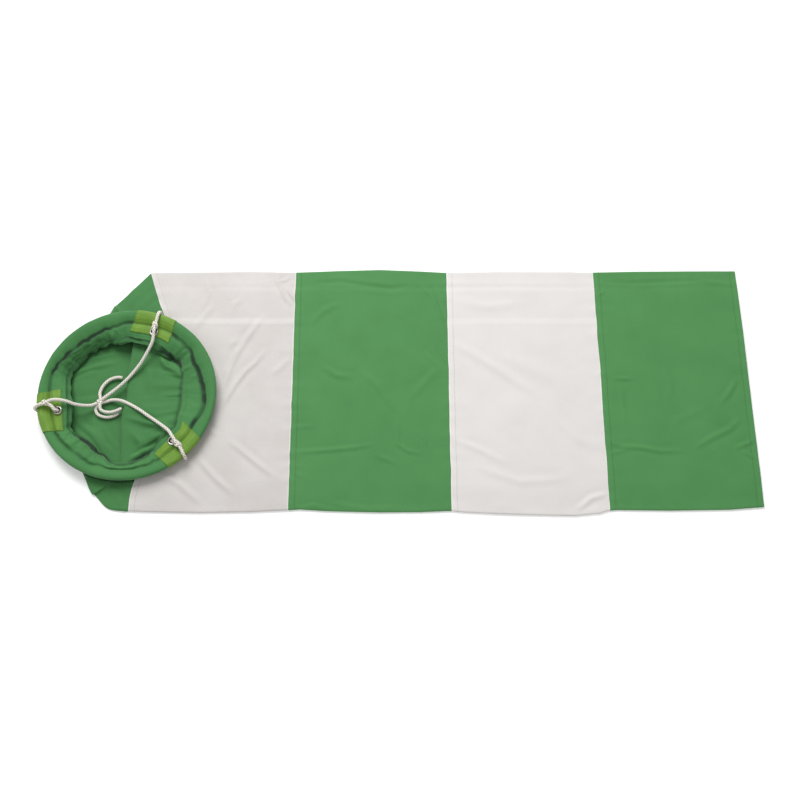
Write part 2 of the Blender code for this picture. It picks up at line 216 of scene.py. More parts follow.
def around(table: tuple[tuple[float, ...], ...], degrees: np.ndarray) -> np.ndarray:
    """Smooth periodic curve through rows of (angle, value, ...).

    Args:
        table: Rows in order of angle, the first at 0 degrees.
        degrees: Angles to read the curve at.

    Returns:
        One column for each value in the table.
    """
    rows = np.array(table, float)
    angle = np.concatenate([rows[-2:, 0] - 360, rows[:, 0], rows[:2, 0] + 360])
    value = np.concatenate([rows[-2:, 1:], rows[:, 1:], rows[:2, 1:]])
    slope = np.gradient(value, angle, axis=0)
    query = np.mod(np.asarray(degrees, float), 360.0)
    i = np.clip(np.searchsorted(angle, query, side="right") - 1, 0, len(angle) - 2)
    width = (angle[i + 1] - angle[i])[..., None]
    t = (query[..., None] - angle[i][..., None]) / width
    h = 2 * t**3 - 3 * t**2 + 1
    rise = (t**3 - 2 * t**2 + t) * width * slope[i] + (t**3 - t**2) * width * slope[i + 1]
    return h * value[i] + rise + (1 - h) * value[i + 1]


def spline_rows(stations: np.ndarray, per_span: int) -> np.ndarray:
    """Catmull-Rom curves through stations, all lines at once.

    Args:
        stations: Array of (stations, lines, 3).
        per_span: Points for each span between two stations.

    Returns:
        Array of (points, lines, 3).
    """
    before = 2 * stations[:1] - stations[1:2]
    after = 2 * stations[-1:] - stations[-2:-1]
    padded = np.concatenate([before, stations, after])
    rows = []
    for a, b, c, d in zip(padded, padded[1:], padded[2:], padded[3:]):
        for k in range(per_span):
            t = k / per_span
            square = (2 * a - 5 * b + 4 * c - d) * t * t
            rows.append(0.5 * (2 * b + (c - a) * t + square + (3 * b - 3 * c + d - a) * t**3))
    rows.append(padded[-2])
    return np.array(rows)


def even_rows(lines: np.ndarray, count: int) -> np.ndarray:
    """Space the points of every line evenly along it.

    Args:
        lines: Array of (points, lines, 3).
        count: Points wanted on each line.

    Returns:
        Array of (count, lines, 3).
    """
    step = np.linalg.norm(np.diff(lines, axis=0), axis=2)
    length = np.concatenate([np.zeros((1, lines.shape[1])), np.cumsum(step, axis=0)])
    out = np.empty((count, lines.shape[1], 3))
    for j in range(lines.shape[1]):
        want = np.linspace(0.0, length[-1, j], count)
        for k in range(3):
            out[:, j, k] = np.interp(want, length[:, j], lines[:, j, k])
    return out


def add_grid(
    name: str,
    points: np.ndarray,
    uv: np.ndarray,
    tone: np.ndarray | None = None,
    closed: bool = False,
    flip: bool = False,
) -> bpy.types.Object:
    """Make a mesh object of a grid of points.

    Args:
        name: Name of the piece.
        points: Array of (rows, columns, 3).
        uv: Array of (rows, columns, 2) in metres, with one more column when closed.
        tone: Array of (rows, columns): 0.5 is the plain cloth, less is darker.
        closed: Whether the last column joins the first.
        flip: Whether the faces look the other way.

    Returns:
        The new object, smooth shaded.
    """
    rows, columns = points.shape[:2]
    spans = columns if closed else columns - 1
    r, c = np.meshgrid(np.arange(rows - 1), np.arange(spans), indexing="ij")
    n = (c + 1) % columns
    here = r * columns
    above = (r + 1) * columns
    corners = np.stack([here + c, here + n, above + n, above + c], axis=-1)
    places = np.stack([uv[r, c], uv[r, c + 1], uv[r + 1, c + 1], uv[r + 1, c]], axis=-2)
    if flip:
        corners = corners[..., ::-1]
        places = places[..., ::-1, :]
    mesh = bpy.data.meshes.new(name)
    mesh.vertices.add(rows * columns)
    mesh.vertices.foreach_set("co", points.reshape(-1).astype(np.float32))
    count = (rows - 1) * spans
    mesh.loops.add(count * 4)
    mesh.loops.foreach_set("vertex_index", corners.reshape(-1).astype(np.int32))
    mesh.polygons.add(count)
    mesh.polygons.foreach_set("loop_start", np.arange(0, count * 4, 4, dtype=np.int32))
    mesh.update(calc_edges=True)
    layer = mesh.uv_layers.new(name="cloth")
    layer.data.foreach_set("uv", places.reshape(-1).astype(np.float32))
    shade = mesh.attributes.new("tone", "FLOAT", "POINT")
    values = np.full(rows * columns, 0.5) if tone is None else tone.reshape(-1)
    shade.data.foreach_set("value", values.astype(np.float32))
    mesh.shade_smooth()
    piece = bpy.data.objects.new(name, mesh)
    bpy.context.collection.objects.link(piece)
    return piece


# ---------------------------------------------------------------- finishes


@dataclass(frozen=True)
class WovenPolyester:
    """Plain-woven polyester bunting, piece dyed: a matt cloth with a faint sheen on its folds.

    The threads of the real cloth are 0.3 mm apart, too fine to show, so they are drawn 1.2 mm
    apart. Soft patches about 60 mm across stand for uneven dye and handling.
    """

    name: str
    colour: str
    dark: str
    # colour of painted shade, at the dark end of the tone ramp
    shade_deep: str
    light: str
    roughness: float = 0.72
    sheen: float = 0.18
    pitch: float = 1.2 * MM

    def build(self) -> bpy.types.Material:
        """Build the cloth's material."""
        material, tree, shader = blank_material(self.name)
        coords = add_node(tree, "ShaderNodeUVMap", {"uv_map": "cloth"})
        split = add_node(tree, "ShaderNodeSeparateXYZ", inputs={0: coords.outputs[0]})
        turns = 2 * math.pi / self.pitch
        waves = []
        for axis in (0, 1):
            thread = split.outputs[axis]
            phase = add_node(tree, "ShaderNodeMath", {"operation": "MULTIPLY"}, {0: thread, 1: turns})
            waves.append(add_node(tree, "ShaderNodeMath", {"operation": "SINE"}, {0: phase.outputs[0]}))
        warp, weft = (wave.outputs[0] for wave in waves)
        weave = add_node(tree, "ShaderNodeMath", {"operation": "MULTIPLY"}, {0: warp, 1: weft})
        place = add_node(tree, "ShaderNodeTexCoord")
        slub = add_node(
            tree,
            "ShaderNodeTexNoise",
            inputs={"Vector": coords.outputs[0], "Scale": 420.0, "Detail": 2.0, "Roughness": 0.6},
        )
        cloud = add_node(
            tree,
            "ShaderNodeTexNoise",
            inputs={"Vector": place.outputs["Object"], "Scale": 17.0, "Detail": 3.0, "Roughness": 0.55},
        )
        tone = add_node(tree, "ShaderNodeAttribute", {"attribute_name": "tone"})
        shift = add_node(
            tree,
            "ShaderNodeMath",
            {"operation": "MULTIPLY_ADD"},
            {0: cloud.outputs["Fac"], 1: 0.16, 2: -0.08},
        )
        fine = add_node(
            tree, "ShaderNodeMath", {"operation": "MULTIPLY_ADD"}, {0: slub.outputs["Fac"], 1: 0.12, 2: -0.06}
        )
        grain = add_node(
            tree,
            "ShaderNodeMath",
            {"operation": "MULTIPLY_ADD"},
            {0: weave.outputs[0], 1: 0.05, 2: fine.outputs[0]},
        )
        plain = {"operation": "ADD"}
        uneven = add_node(tree, "ShaderNodeMath", plain, {0: shift.outputs[0], 1: grain.outputs[0]})
        shade = add_node(tree, "ShaderNodeMath", plain, {0: uneven.outputs[0], 1: tone.outputs["Fac"]})
        # The ramp's dark end is the colour of painted shade; on the white cloth its light end is reached
        # mostly by the painted highlight along the seams.
        ramp = add_node(tree, "ShaderNodeValToRGB", inputs={0: shade.outputs[0]})
        ramp.color_ramp.elements[0].color = rgba(self.shade_deep)
        ramp.color_ramp.elements[1].color = rgba(self.light)
        ramp.color_ramp.elements.new(0.3).color = rgba(self.dark)
        ramp.color_ramp.elements.new(0.5).color = rgba(self.colour)
        rise = add_node(tree, "ShaderNodeMath", plain, {0: weave.outputs[0], 1: slub.outputs["Fac"]})
        bump = add_node(
            tree,
            "ShaderNodeBump",
            inputs={"Height": rise.outputs[0], "Distance": 0.07 * MM, "Strength": 0.5},
        )
        feed(tree, shader, {
            "Base Color": ramp.outputs[0],
            "Normal": bump.outputs[0],
            "Roughness": self.roughness,
            "Sheen Weight": self.sheen,
            "Sheen Roughness": 0.5,
            "Specular IOR Level": 0.3,
        })
        return material


@dataclass(frozen=True)
class GrosgrainTape:
    """Ribbed nylon webbing: ribs 2.6 mm apart along the tape give it a dull, corded look."""

    name: str
    colour: str
    dark: str
    light: str
    pitch: float = 2.6 * MM

    def build(self) -> bpy.types.Material:
        """Build the tape's material."""
        material, tree, shader = blank_material(self.name)
        coords = add_node(tree, "ShaderNodeUVMap", {"uv_map": "cloth"})
        split = add_node(tree, "ShaderNodeSeparateXYZ", inputs={0: coords.outputs[0]})
        turns = 2 * math.pi / self.pitch
        phase = add_node(tree, "ShaderNodeMath", {"operation": "MULTIPLY"}, {0: split.outputs[0], 1: turns})
        rib = add_node(tree, "ShaderNodeMath", {"operation": "SINE"}, {0: phase.outputs[0]})
        drawn = add_node(
            tree, "ShaderNodeMapping", inputs={"Vector": coords.outputs[0], "Scale": (380.0, 22.0, 1.0)}
        )
        streak = add_node(
            tree, "ShaderNodeTexNoise", inputs={"Vector": drawn.outputs[0], "Scale": 1.0, "Detail": 3.0}
        )
        tone = add_node(tree, "ShaderNodeAttribute", {"attribute_name": "tone"})
        shift = add_node(
            tree,
            "ShaderNodeMath",
            {"operation": "MULTIPLY_ADD"},
            {0: streak.outputs["Fac"], 1: 0.7, 2: -0.35},
        )
        ribbed = add_node(
            tree,
            "ShaderNodeMath",
            {"operation": "MULTIPLY_ADD"},
            {0: rib.outputs[0], 1: 0.13, 2: shift.outputs[0]},
        )
        total = add_node(
            tree, "ShaderNodeMath", {"operation": "ADD"}, {0: ribbed.outputs[0], 1: tone.outputs["Fac"]}
        )
        ramp = add_node(tree, "ShaderNodeValToRGB", inputs={0: total.outputs[0]})
        ramp.color_ramp.elements[0].color = rgba(self.dark)
        ramp.color_ramp.elements[1].color = rgba(self.light)
        ramp.color_ramp.elements.new(0.5).color = rgba(self.colour)
        bump = add_node(
            tree, "ShaderNodeBump", inputs={"Height": rib.outputs[0], "Distance": 0.15 * MM, "Strength": 0.6}
        )
        feed(tree, shader, {
            "Base Color": ramp.outputs[0],
            "Normal": bump.outputs[0],
            "Roughness": 0.6,
            "Sheen Weight": 0.15,
            "Specular IOR Level": 0.35,
        })
        return material


@dataclass(frozen=True)
class BraidedCord:
    """Braided polyester cord: soft white, a little warm, with painted shade between the plaits.

    The fibres run along the cord, drawn 1 to 3 mm long.
    """

    name: str
    colour: str
    dark: str

    def build(self) -> bpy.types.Material:
        """Build the cord's material."""
        material, tree, shader = blank_material(self.name)
        tone = add_node(tree, "ShaderNodeAttribute", {"attribute_name": "tone"})
        coords = add_node(tree, "ShaderNodeUVMap", {"uv_map": "cloth"})
        drawn = add_node(
            tree, "ShaderNodeMapping", inputs={"Vector": coords.outputs[0], "Scale": (900.0, 300.0, 1.0)}
        )
        fibre = add_node(
            tree, "ShaderNodeTexNoise", inputs={"Vector": drawn.outputs[0], "Scale": 1.0, "Detail": 2.0}
        )
        shade = add_node(
            tree,
            "ShaderNodeMath",
            {"operation": "MULTIPLY_ADD"},
            {0: fibre.outputs["Fac"], 1: 0.3, 2: tone.outputs["Fac"]},
        )
        # The ramp's dark end is the colour of the painted shade between the plaits.
        ramp = add_node(tree, "ShaderNodeValToRGB", inputs={0: shade.outputs[0]})
        ramp.color_ramp.elements[0].color = rgba(self.dark)
        ramp.color_ramp.elements[1].color = rgba(self.colour)
        ramp.color_ramp.elements[1].position = 0.8
        bump = add_node(
            tree,
            "ShaderNodeBump",
            inputs={"Height": fibre.outputs["Fac"], "Distance": 0.12 * MM, "Strength": 0.5},
        )
        feed(tree, shader, {
            "Base Color": ramp.outputs[0],
            "Normal": bump.outputs[0],
            "Roughness": 0.75,
            "Sheen Weight": 0.2,
        })
        return material


@dataclass(frozen=True)
class SpunThread:
    """Spun polyester sewing thread: matt, with its twist too fine to show."""

    name: str
    colour: str
    light: str

    def build(self) -> bpy.types.Material:
        """Build the thread's material."""
        material, tree, shader = blank_material(self.name)
        place = add_node(tree, "ShaderNodeTexCoord")
        twist = add_node(
            tree,
            "ShaderNodeTexNoise",
            inputs={"Vector": place.outputs["Object"], "Scale": 900.0, "Detail": 1.0},
        )
        mix = add_node(
            tree,
            "ShaderNodeMix",
            {"data_type": "RGBA"},
            {0: twist.outputs["Fac"], 6: rgba(self.colour), 7: rgba(self.light)},
        )
        feed(tree, shader, {"Base Color": mix.outputs[2], "Roughness": 0.7})
        return material


@dataclass(frozen=True)
class NickelPlate:
    """Nickel-plated pressed brass: bright, with fine handling scuffs about 1 mm long."""

    name: str
    colour: str

    def build(self) -> bpy.types.Material:
        """Build the plated metal's material."""
        material, tree, shader = blank_material(self.name)
        place = add_node(tree, "ShaderNodeTexCoord")
        scuff = add_node(
            tree,
            "ShaderNodeTexNoise",
            inputs={"Vector": place.outputs["Object"], "Scale": 700.0, "Detail": 4.0},
        )
        rough = add_node(tree, "ShaderNodeMapRange", inputs={0: scuff.outputs["Fac"], 3: 0.16, 4: 0.38})
        feed(tree, shader, {"Roughness": rough.outputs[0], "Base Color": rgba(self.colour), "Metallic": 1.0})
        return material


@dataclass(frozen=True)
class DrawnPlastic:
    """Pultruded rod or moulded pin: satin, with faint lengthwise drawing streaks."""

    name: str
    colour: str
    light: str

    def build(self) -> bpy.types.Material:
        """Build the plastic's material."""
        material, tree, shader = blank_material(self.name)
        place = add_node(tree, "ShaderNodeTexCoord")
        streak = add_node(
            tree,
            "ShaderNodeTexNoise",
            inputs={"Vector": place.outputs["Object"], "Scale": 160.0, "Detail": 3.0},
        )
        mix = add_node(
            tree,
            "ShaderNodeMix",
            {"data_type": "RGBA"},
            {0: streak.outputs["Fac"], 6: rgba(self.colour), 7: rgba(self.light)},
        )
        rough = add_node(tree, "ShaderNodeMapRange", inputs={0: streak.outputs["Fac"], 3: 0.35, 4: 0.55})
        feed(tree, shader, {"Base Color": mix.outputs[2], "Roughness": rough.outputs[0]})
        return material


class Slot(Enum):
    """The record's material slots."""

    GREEN = "green_fabric"
    WHITE = "white_fabric"
    LIME = "lime_webbing"
    CORD = "white_cord"
    THREAD = "thread"
    METAL = "eyelet_metal"
    ROD = "ring_rod"
    PIN = "joint_pin"


FINISHES = {
    # The third colour of each bunting is the colour of its painted shade.
    Slot.GREEN: WovenPolyester("green_bunting", "#4A884B", "#36703A", "#14301A", "#60A062"),
    Slot.WHITE: WovenPolyester("white_bunting", "#D9D5D2", "#C3BEBA", "#8F8B88", "#EFEDEA", sheen=0.1),
    Slot.LIME: GrosgrainTape("lime_grosgrain", "#658F2A", "#4A6F20", "#84AC3C"),
    Slot.CORD: BraidedCord("braided_cord", "#F1EBE2", "#8F887C"),
    Slot.THREAD: SpunThread("sewing_thread", "#3D7A44", "#4C8C52"),
    Slot.METAL: NickelPlate("nickel_plate", "#B4B1AB"),
    Slot.ROD: DrawnPlastic("rod_glass_fibre", "#26282A", "#34373A"),
    Slot.PIN: DrawnPlastic("pin_moulding", "#B9B7B0", "#C9C7C0"),
}


class Wardrobe:
    """Builds each finish once and puts it on pieces."""

    def __init__(self) -> None:
        """Build the materials."""
        self.materials = {slot: finish.build() for slot, finish in FINISHES.items()}
        self.white_thread = SpunThread("white_thread", "#B9B6B2", "#D2CFCC").build()

    def dress(self, piece: bpy.types.Object, slot: Slot) -> None:
        """Give a new piece a slot's finish."""
        piece.data.materials.clear()
        piece.data.materials.append(self.materials[slot])

    def redress(self, node: str, slot: Slot) -> None:
        """Give a carried-over CAD node the slot's finish."""
        for place in bpy.data.objects[node].material_slots:
            place.material = self.materials[slot]


# ---------------------------------------------------------------- cloth relief


@dataclass(frozen=True)
class Crease:
    """A crease in the cloth: a line of points with a height and a width, all in millimetres.

    A height below zero is a furrow.
    """

    line: tuple[tuple[float, float], ...]
    height: float
    width: float

    def lift(self, x: np.ndarray, y: np.ndarray) -> np.ndarray:
        """Height that the crease adds.

        Args:
            x: Places along the sock, in metres.
            y: Places across the sock, in metres.

        Returns:
            Lift in metres, which fades out at the crease's two ends.
        """
        points = np.array(self.line) * MM
        spans = np.diff(points, axis=0)
        lengths = np.linalg.norm(spans, axis=1)
        start = np.concatenate([[0.0], np.cumsum(lengths)])
        best = np.full(np.shape(x), np.inf)
        along = np.zeros(np.shape(x))
        for a, span, length, s in zip(points, spans, lengths, start):
            ax = x - a[0]
            ay = y - a[1]
            t = np.clip((ax * span[0] + ay * span[1]) / length**2, 0.0, 1.0)
            gap = np.hypot(ax - t * span[0], ay - t * span[1])
            closer = gap < best
            best = np.where(closer, gap, best)
            along = np.where(closer, s + t * length, along)
        fade = np.sin(np.pi * np.clip(along / start[-1], 0.02, 0.98)) ** 0.6
        width = self.width * MM
        ridge = np.exp(-((best / width) ** 2))
        trough = 0.35 * np.exp(-(((best - 1.9 * width) / (1.3 * width)) ** 2))
        return self.height * MM * fade * (ridge - trough)


# ---------------------------------------------------------------- the sock


@dataclass
class SockSkin:
    """Shape of the flattened tube: where a point lies for a place along and around it.

    Around the tube, v runs from -1 (near side fold) over the top to 1 (far side fold), and on
    to 3 underneath. All lengths are in metres.
    """

    half_width: float = 0.218
    edge_half: float = 2.1 * MM
    floor_gap: float = 0.4 * MM
    crown: float = 6.6 * MM
    fold_share: float = 0.012
    crease_gain: float = 1.8
    allowance: float = 10 * MM
    sample_x: float = 0.1
    seams_far: tuple[float, ...] = (-0.4365, -0.1778, 0.0893, 0.3510, 0.6042)
    seams_near: tuple[float, ...] = (-0.4385, -0.1762, 0.0915, 0.3512, 0.6045)
    far_edge: tuple[tuple[float, float], ...] = (
        (-439, 218), (-350, 219.5), (-261, 220.5), (-180, 219), (-172, 219), (-100, 222), (-29, 224),
        (43, 221), (85, 218.5), (96, 219), (186, 220.5), (310, 220), (348, 218.5), (356, 219), (420, 220.5),
        (489, 221), (605, 221.5),
    )
    near_edge: tuple[tuple[float, float], ...] = (
        (-439, -217), (-403, -218.5), (-321, -220), (-239, -218.5), (-178, -215.5), (-157, -214),
        (-120, -216.5), (-91, -217.5), (-26, -219), (40, -218.5), (87, -216.5), (110, -219), (171, -222),
        (236, -224), (293, -225), (335, -221), (350, -216), (362, -215), (450, -216), (548, -214.5),
        (605, -210),
    )
    creases: tuple[Crease, ...] = (
        Crease(
            ((-430, 190), (-300, 188), (-170, 189), (0, 187), (160, 189), (330, 188), (604, 189)), -0.35, 4.0,
        ),
        Crease(
            ((-233, 130), (-248, 108), (-262, 84), (-274, 63), (-282, 41), (-289, 18), (-299, -6)), 1.1, 4.5,
        ),
        Crease(((-228, 65), (-242, 44), (-259, 27), (-273, 6), (-285, -17), (-297, -40)), 1.4, 4.0),
        Crease(((-244, 130), (-262, 100), (-286, 60)), -0.5, 5.0),
        Crease(((-319, 153), (-332, 138), (-344, 118), (-350, 104)), 0.7, 5.0),
        Crease(((-334, 212), (-335, 192), (-330, 175), (-341, 143)), 0.7, 3.5),
        Crease(((-208, 215), (-212, 202), (-204, 187), (-197, 170), (-185, 153)), 1.2, 3.0),
        Crease(((-195, 192), (-188, 177), (-177, 162)), 1.2, 3.0),
        Crease(((-187, 212), (-196, 202), (-211, 200)), 0.9, 2.6),
        Crease(((-271, 165), (-284, 155), (-287, 138)), 0.7, 4.5),
        Crease(((-183, 53), (-200, 34), (-213, 22)), 0.7, 5.0),
        Crease(((-286, 79), (-273, 84), (-258, 99)), 0.6, 5.0),
        Crease(((-300, 60), (-290, 20), (-296, -30)), 0.5, 7.0),
        Crease(((-333, -64), (-316, -75), (-300, -86)), 1.0, 3.5),
        Crease(((-278, -98), (-234, -134), (-200, -160)), 1.1, 4.5),
        Crease(((-332, -124), (-299, -162), (-268, -188)), 1.2, 4.5),
        Crease(((-400, -150), (-360, -170), (-320, -205)), 0.9, 5.0),
        Crease(((-172, -117), (-121, -114), (-70, -109), (-38, -103)), 0.9, 3.2),
        Crease(((-160, 195), (-98, 199), (-52, 192), (-6, 186), (25, 194)), -0.9, 4.5),
        Crease(((44, 192), (63, 173), (74, 144), (83, 106)), 1.0, 4.0),
        Crease(((71, 190), (80, 169), (86, 144)), 0.7, 3.0),
        Crease(((-146, 121), (-127, 142), (-101, 156)), 0.7, 5.0),
        Crease(((-125, 37), (-102, 21), (-76, 17)), 0.8, 4.5),
        Crease(((-58, 27), (-35, 5), (-13, -26), (9, -54)), 0.7, 5.0),
        Crease(((0, -67), (4, -103), (20, -115), (42, -119)), 0.9, 3.2),
        Crease(((39, -81), (48, -94), (53, -107)), 0.7, 3.0),
        Crease(((24, -22), (58, 17), (77, 33)), 0.6, 6.0),
        Crease(((54, 61), (65, 45), (71, 37)), 0.7, 4.0),
        Crease(((-34, -122), (-12, -130), (2, -137)), 0.6, 4.0),
        Crease(((-168, -208), (-157, -213), (-136, -208), (-108, -215)), 0.9, 3.0),
        Crease(((-108, -204), (-47, -215), (9, -213)), 0.6, 4.0),
        Crease(((-173, -73), (-140, -71)), 0.5, 3.5),
        Crease(((-172, -152), (-152, -160)), 0.5, 3.5),
        Crease(((92, 84), (130, 62), (175, 32), (240, -14)), 0.8, 7.0),
        Crease(((180, 60), (240, 30), (300, 0)), 0.7, 12.0),
        Crease(((95, -94), (141, -113), (182, -136)), 0.6, 5.0),
        Crease(((130, -142), (205, -168), (285, -163)), 0.6, 6.0),
        Crease(((270, -60), (310, -96), (346, -110)), 0.5, 8.0),
        Crease(((296, -216), (322, -196), (348, -188)), 1.1, 4.0),
        Crease(((110, 160), (160, 150), (220, 158)), 0.6, 8.0),
        Crease(((373, 199), (423, 197), (479, 200), (535, 202)), -0.8, 3.5),
        Crease(((539, 211), (550, 199), (599, 193)), 0.6, 4.0),
        Crease(((354, 173), (369, 178)), 0.7, 2.5),
        Crease(((372, 15), (406, 14)), 0.9, 3.0),
        Crease(((385, -2), (384, -32), (389, -59)), 0.5, 4.0),
        Crease(((459, 34), (470, 1), (462, -23)), 0.4, 5.0),
        Crease(((552, -29), (568, -11), (583, 13)), 0.9, 4.0),
        Crease(((502, -109), (531, -91), (561, -77), (580, -59)), 0.9, 4.0),
        Crease(((359, -97), (374, -107), (410, -109), (440, -115), (476, -115)), 1.0, 3.5),
        Crease(((357, -119), (391, -112)), 0.6, 3.0),
        Crease(((568, -109), (586, -103), (599, -97)), 1.0, 3.0),
        Crease(((579, -110), (586, -120), (598, -128)), 1.0, 3.0),
        Crease(((467, -65), (493, -53), (520, -41)), 0.4, 6.0),
    )

    def seam(self, number: int, y: np.ndarray, top: np.ndarray) -> np.ndarray:
        """Where a seam runs.

        Args:
            number: 0 for the seam next to the hoop, up to 4 for the tail's hem.
            y: Place across the sock.
            top: 1 on the upper layer, 0 on the lower.

        Returns:
            The seam's place along the sock.
        """
        share = (np.asarray(y) / self.half_width + 1) / 2
        line = self.seams_near[number] * (1 - share) + self.seams_far[number] * share
        if number not in (0, 4):
            line = line + 0.5 * MM * noise(y, top, 0.03, 40 + number)
        if number == 0:
            far = np.clip((0.217 - y) / 0.241, 0.0, 1.0)
            near = np.clip((y + 0.218) / 0.194, 0.0, 1.0)
            pull = np.where(y > -0.024, 0.85 * far + 0.15 * smooth_step(far), smooth_step(near) ** 1.5)
            line = line + 0.090 * pull * top
        return line

    def relief(self, x: np.ndarray, y: np.ndarray) -> np.ndarray:
        """Height of the cloth's wrinkles on the upper layer, in metres."""
        lift = 0.9 * MM * noise(x, y, 0.085, 1) + 0.6 * MM * noise(x + 0.3 * y, y, 0.037, 2)
        lift += 0.16 * MM * noise(x, y, 0.014, 3)
        for crease in self.creases:
            lift += self.crease_gain * crease.lift(x, y)
        one = np.ones(np.shape(y))
        for number in range(5):
            away = x - self.seam(number, y, one)
            small = noise(y, one * number, 0.011, 60 + number)
            large = noise(y, one * number, 0.024, 70 + number)
            gather = 0.55 * small + 0.45 * large
            reach = np.where(away > 0, 0.017, 0.012)
            lift += 1.5 * MM * gather * np.exp(-np.abs(away) / reach) * (np.abs(away) > 0.2 * MM)
            if number < 4:
                felled = smooth_step(away / (0.9 * MM)) * (1 - smooth_step((away - 10.2 * MM) / (1.6 * MM)))
            else:
                felled = smooth_step((away + 11.5 * MM) / (1.4 * MM))
            lift += 0.25 * MM * felled
            lift -= 0.35 * MM * np.exp(-((away / (1.1 * MM)) ** 2))
            row = away - self.allowance if number < 4 else away + self.allowance
            lift -= 0.35 * MM * np.exp(-((row / (0.9 * MM)) ** 2))
        return lift

    def tone(self, x: np.ndarray, y: np.ndarray, top: np.ndarray) -> np.ndarray:
        """Tone of the cloth: 0.5 is plain, more is lighter where it is doubled at a seam."""
        value = np.full(np.shape(x), 0.5)
        for number in range(5):
            away = x - self.seam(number, y, top)
            if number < 4:
                strip = smooth_step(away / (0.6 * MM)) * (1 - smooth_step((away - 10 * MM) / (1.0 * MM)))
            else:
                strip = smooth_step((away + 10.5 * MM) / (1.0 * MM))
            value = value + 0.02 * strip
            row = away - self.allowance if number < 4 else away + self.allowance
            value = value - 0.07 * np.exp(-((row / (0.7 * MM)) ** 2))
        return value

    def point(self, x: np.ndarray, v: np.ndarray) -> np.ndarray:
        """Point on the tube's outside.

        Args:
            x: Place along the sock.
            v: Place around it, from -1 to 3.

        Returns:
            Array with a last axis of x, y and z.
        """
        far = np.interp(x, [p[0] * MM for p in self.far_edge], [p[1] * MM for p in self.far_edge])
        near = np.interp(x, [p[0] * MM for p in self.near_edge], [p[1] * MM for p in self.near_edge])
        r = self.edge_half
        a = self.fold_share
        upper = (v <= 1 - a) & (v >= -1 + a)
        lower = (v >= 1 + a) & (v <= 3 - a)
        across = np.where(upper, v / (1 - a), np.where(lower, (2 - v) / (1 - a), 0.0))
        y = np.where(across > 0, across * (far - r), -across * (near + r))
        from_edge = np.minimum(far - r - y, y - near - r)
        puff = smooth_step(from_edge / 0.05)
        top = self.floor_gap + 2 * r + (self.crown - self.floor_gap - 2 * r) * puff
        top = top + self.relief(x, y) * (0.35 + 0.65 * smooth_step(from_edge / 0.012))
        bottom = self.floor_gap + 0.35 * MM * (1 + noise(x, y, 0.06, 9)) * puff
        far_turn = (v - 1) / a * (math.pi / 2)
        near_turn = (np.where(v > 2, v - 3, v + 1)) / a * (math.pi / 2)
        at_far = np.abs(v - 1) < a
        at_near = ~(upper | lower | at_far)
        z = np.where(upper, top, bottom)
        edge_top = self.floor_gap + 2 * r + self.relief(x, np.where(at_far, far - r, near + r)) * 0.35
        bulge = (edge_top - self.floor_gap) / 2
        y = np.where(at_far, far - r + r * np.cos(far_turn), y)
        z = np.where(at_far, self.floor_gap + bulge - bulge * np.sin(far_turn), z)
        y = np.where(at_near, near + r - r * np.cos(near_turn), y)
        z = np.where(at_near, self.floor_gap + bulge + bulge * np.sin(near_turn), z)
        return np.stack([x, y, z], axis=-1)


def sock_columns() -> np.ndarray:
    """Places around the tube where its mesh has vertices: fine on top and in the side folds."""
    a = SockSkin.fold_share
    top = np.linspace(-1 + a, 1 - a, 150)
    far = np.linspace(1 - a, 1 + a, 7)[1:-1]
    bottom = np.linspace(1 + a, 3 - a, 56)
    near = np.linspace(-1 - a, -1 + a, 7)[1:-1] + 4
    return np.concatenate([top, far, bottom, near])


@dataclass
class SockPanel:
    """One stripe of the flattened tube, as a thin shell.

    A white stripe has a lighter, slightly raised strip that runs lengthwise on its upper side,
    and a painted highlight along the fold edge at each of its seams.
    """

    name: str
    number: int
    slot: Slot
    skin: SockSkin
    band: bool = False
    shade: float = 0.0
    rows: int = 100
    cloth: float = 0.4 * MM
    stripe: float = 0.26
    strip_y: float = 0.122
    strip_half: float = 5.5 * MM

    def build(self, wardrobe: Wardrobe) -> bpy.types.Object:
        """Build and dress the stripe."""
        v = sock_columns()
        share = np.linspace(0.0, 1.0, self.rows)
        steps = np.array([0.0, 0.9, 1.8, 2.7, 3.6, 5.0, 6.5, 8.0, 9.0, 9.6, 10.2, 10.8, 11.6, 12.6, 14.0])
        near_seam = steps * MM / self.stripe
        before = 1 - np.array([0.0, 0.8, 1.6, 2.4, 3.4]) * MM / self.stripe
        if self.number == 4:
            before = 1 - near_seam
        inner = share[(share > near_seam[-1] + 0.005) & (share < before.min() - 0.005)]
        share = np.unique(np.concatenate([near_seam, inner, before]))
        s, v = np.meshgrid(share, v, indexing="ij")
        top = ((v < 1) | (v > 3)).astype(float)
        rough = self.skin.point(np.full_like(v, self.skin.sample_x), v)
        y = rough[..., 1]
        start = self.skin.seam(self.number, y, top)
        end = self.skin.seam(self.number + 1, y, top)
        x = start * (1 - s) + end * s
        points = self.skin.point(x, v)
        around_length = np.concatenate([v[0] * self.skin.half_width, [3 * self.skin.half_width + 0.001]])
        along = np.concatenate([x, x[:, :1]], axis=1)
        uv = np.stack([along, np.broadcast_to(around_length, along.shape)], axis=-1)
        tone = self.skin.tone(x, points[..., 1], top)
        if self.band:
            strip = np.exp(-(((points[..., 1] - self.strip_y) / self.strip_half) ** 6))
            tone = tone + 0.09 * strip * top
            points[..., 2] += 0.22 * MM * strip * top
            # Painted highlight: a bright line along the white cloth's fold edge at each seam.
            beside = np.minimum(np.abs(x - start), np.abs(end - x))
            tone = tone + 0.40 * np.exp(-((beside / (1.5 * MM)) ** 4)) * top
        tone = tone + self.shade
        piece = add_grid(self.name, points, uv, tone, closed=True, flip=True)
        thicken(piece, self.cloth)
        wardrobe.dress(piece, self.slot)
        return piece


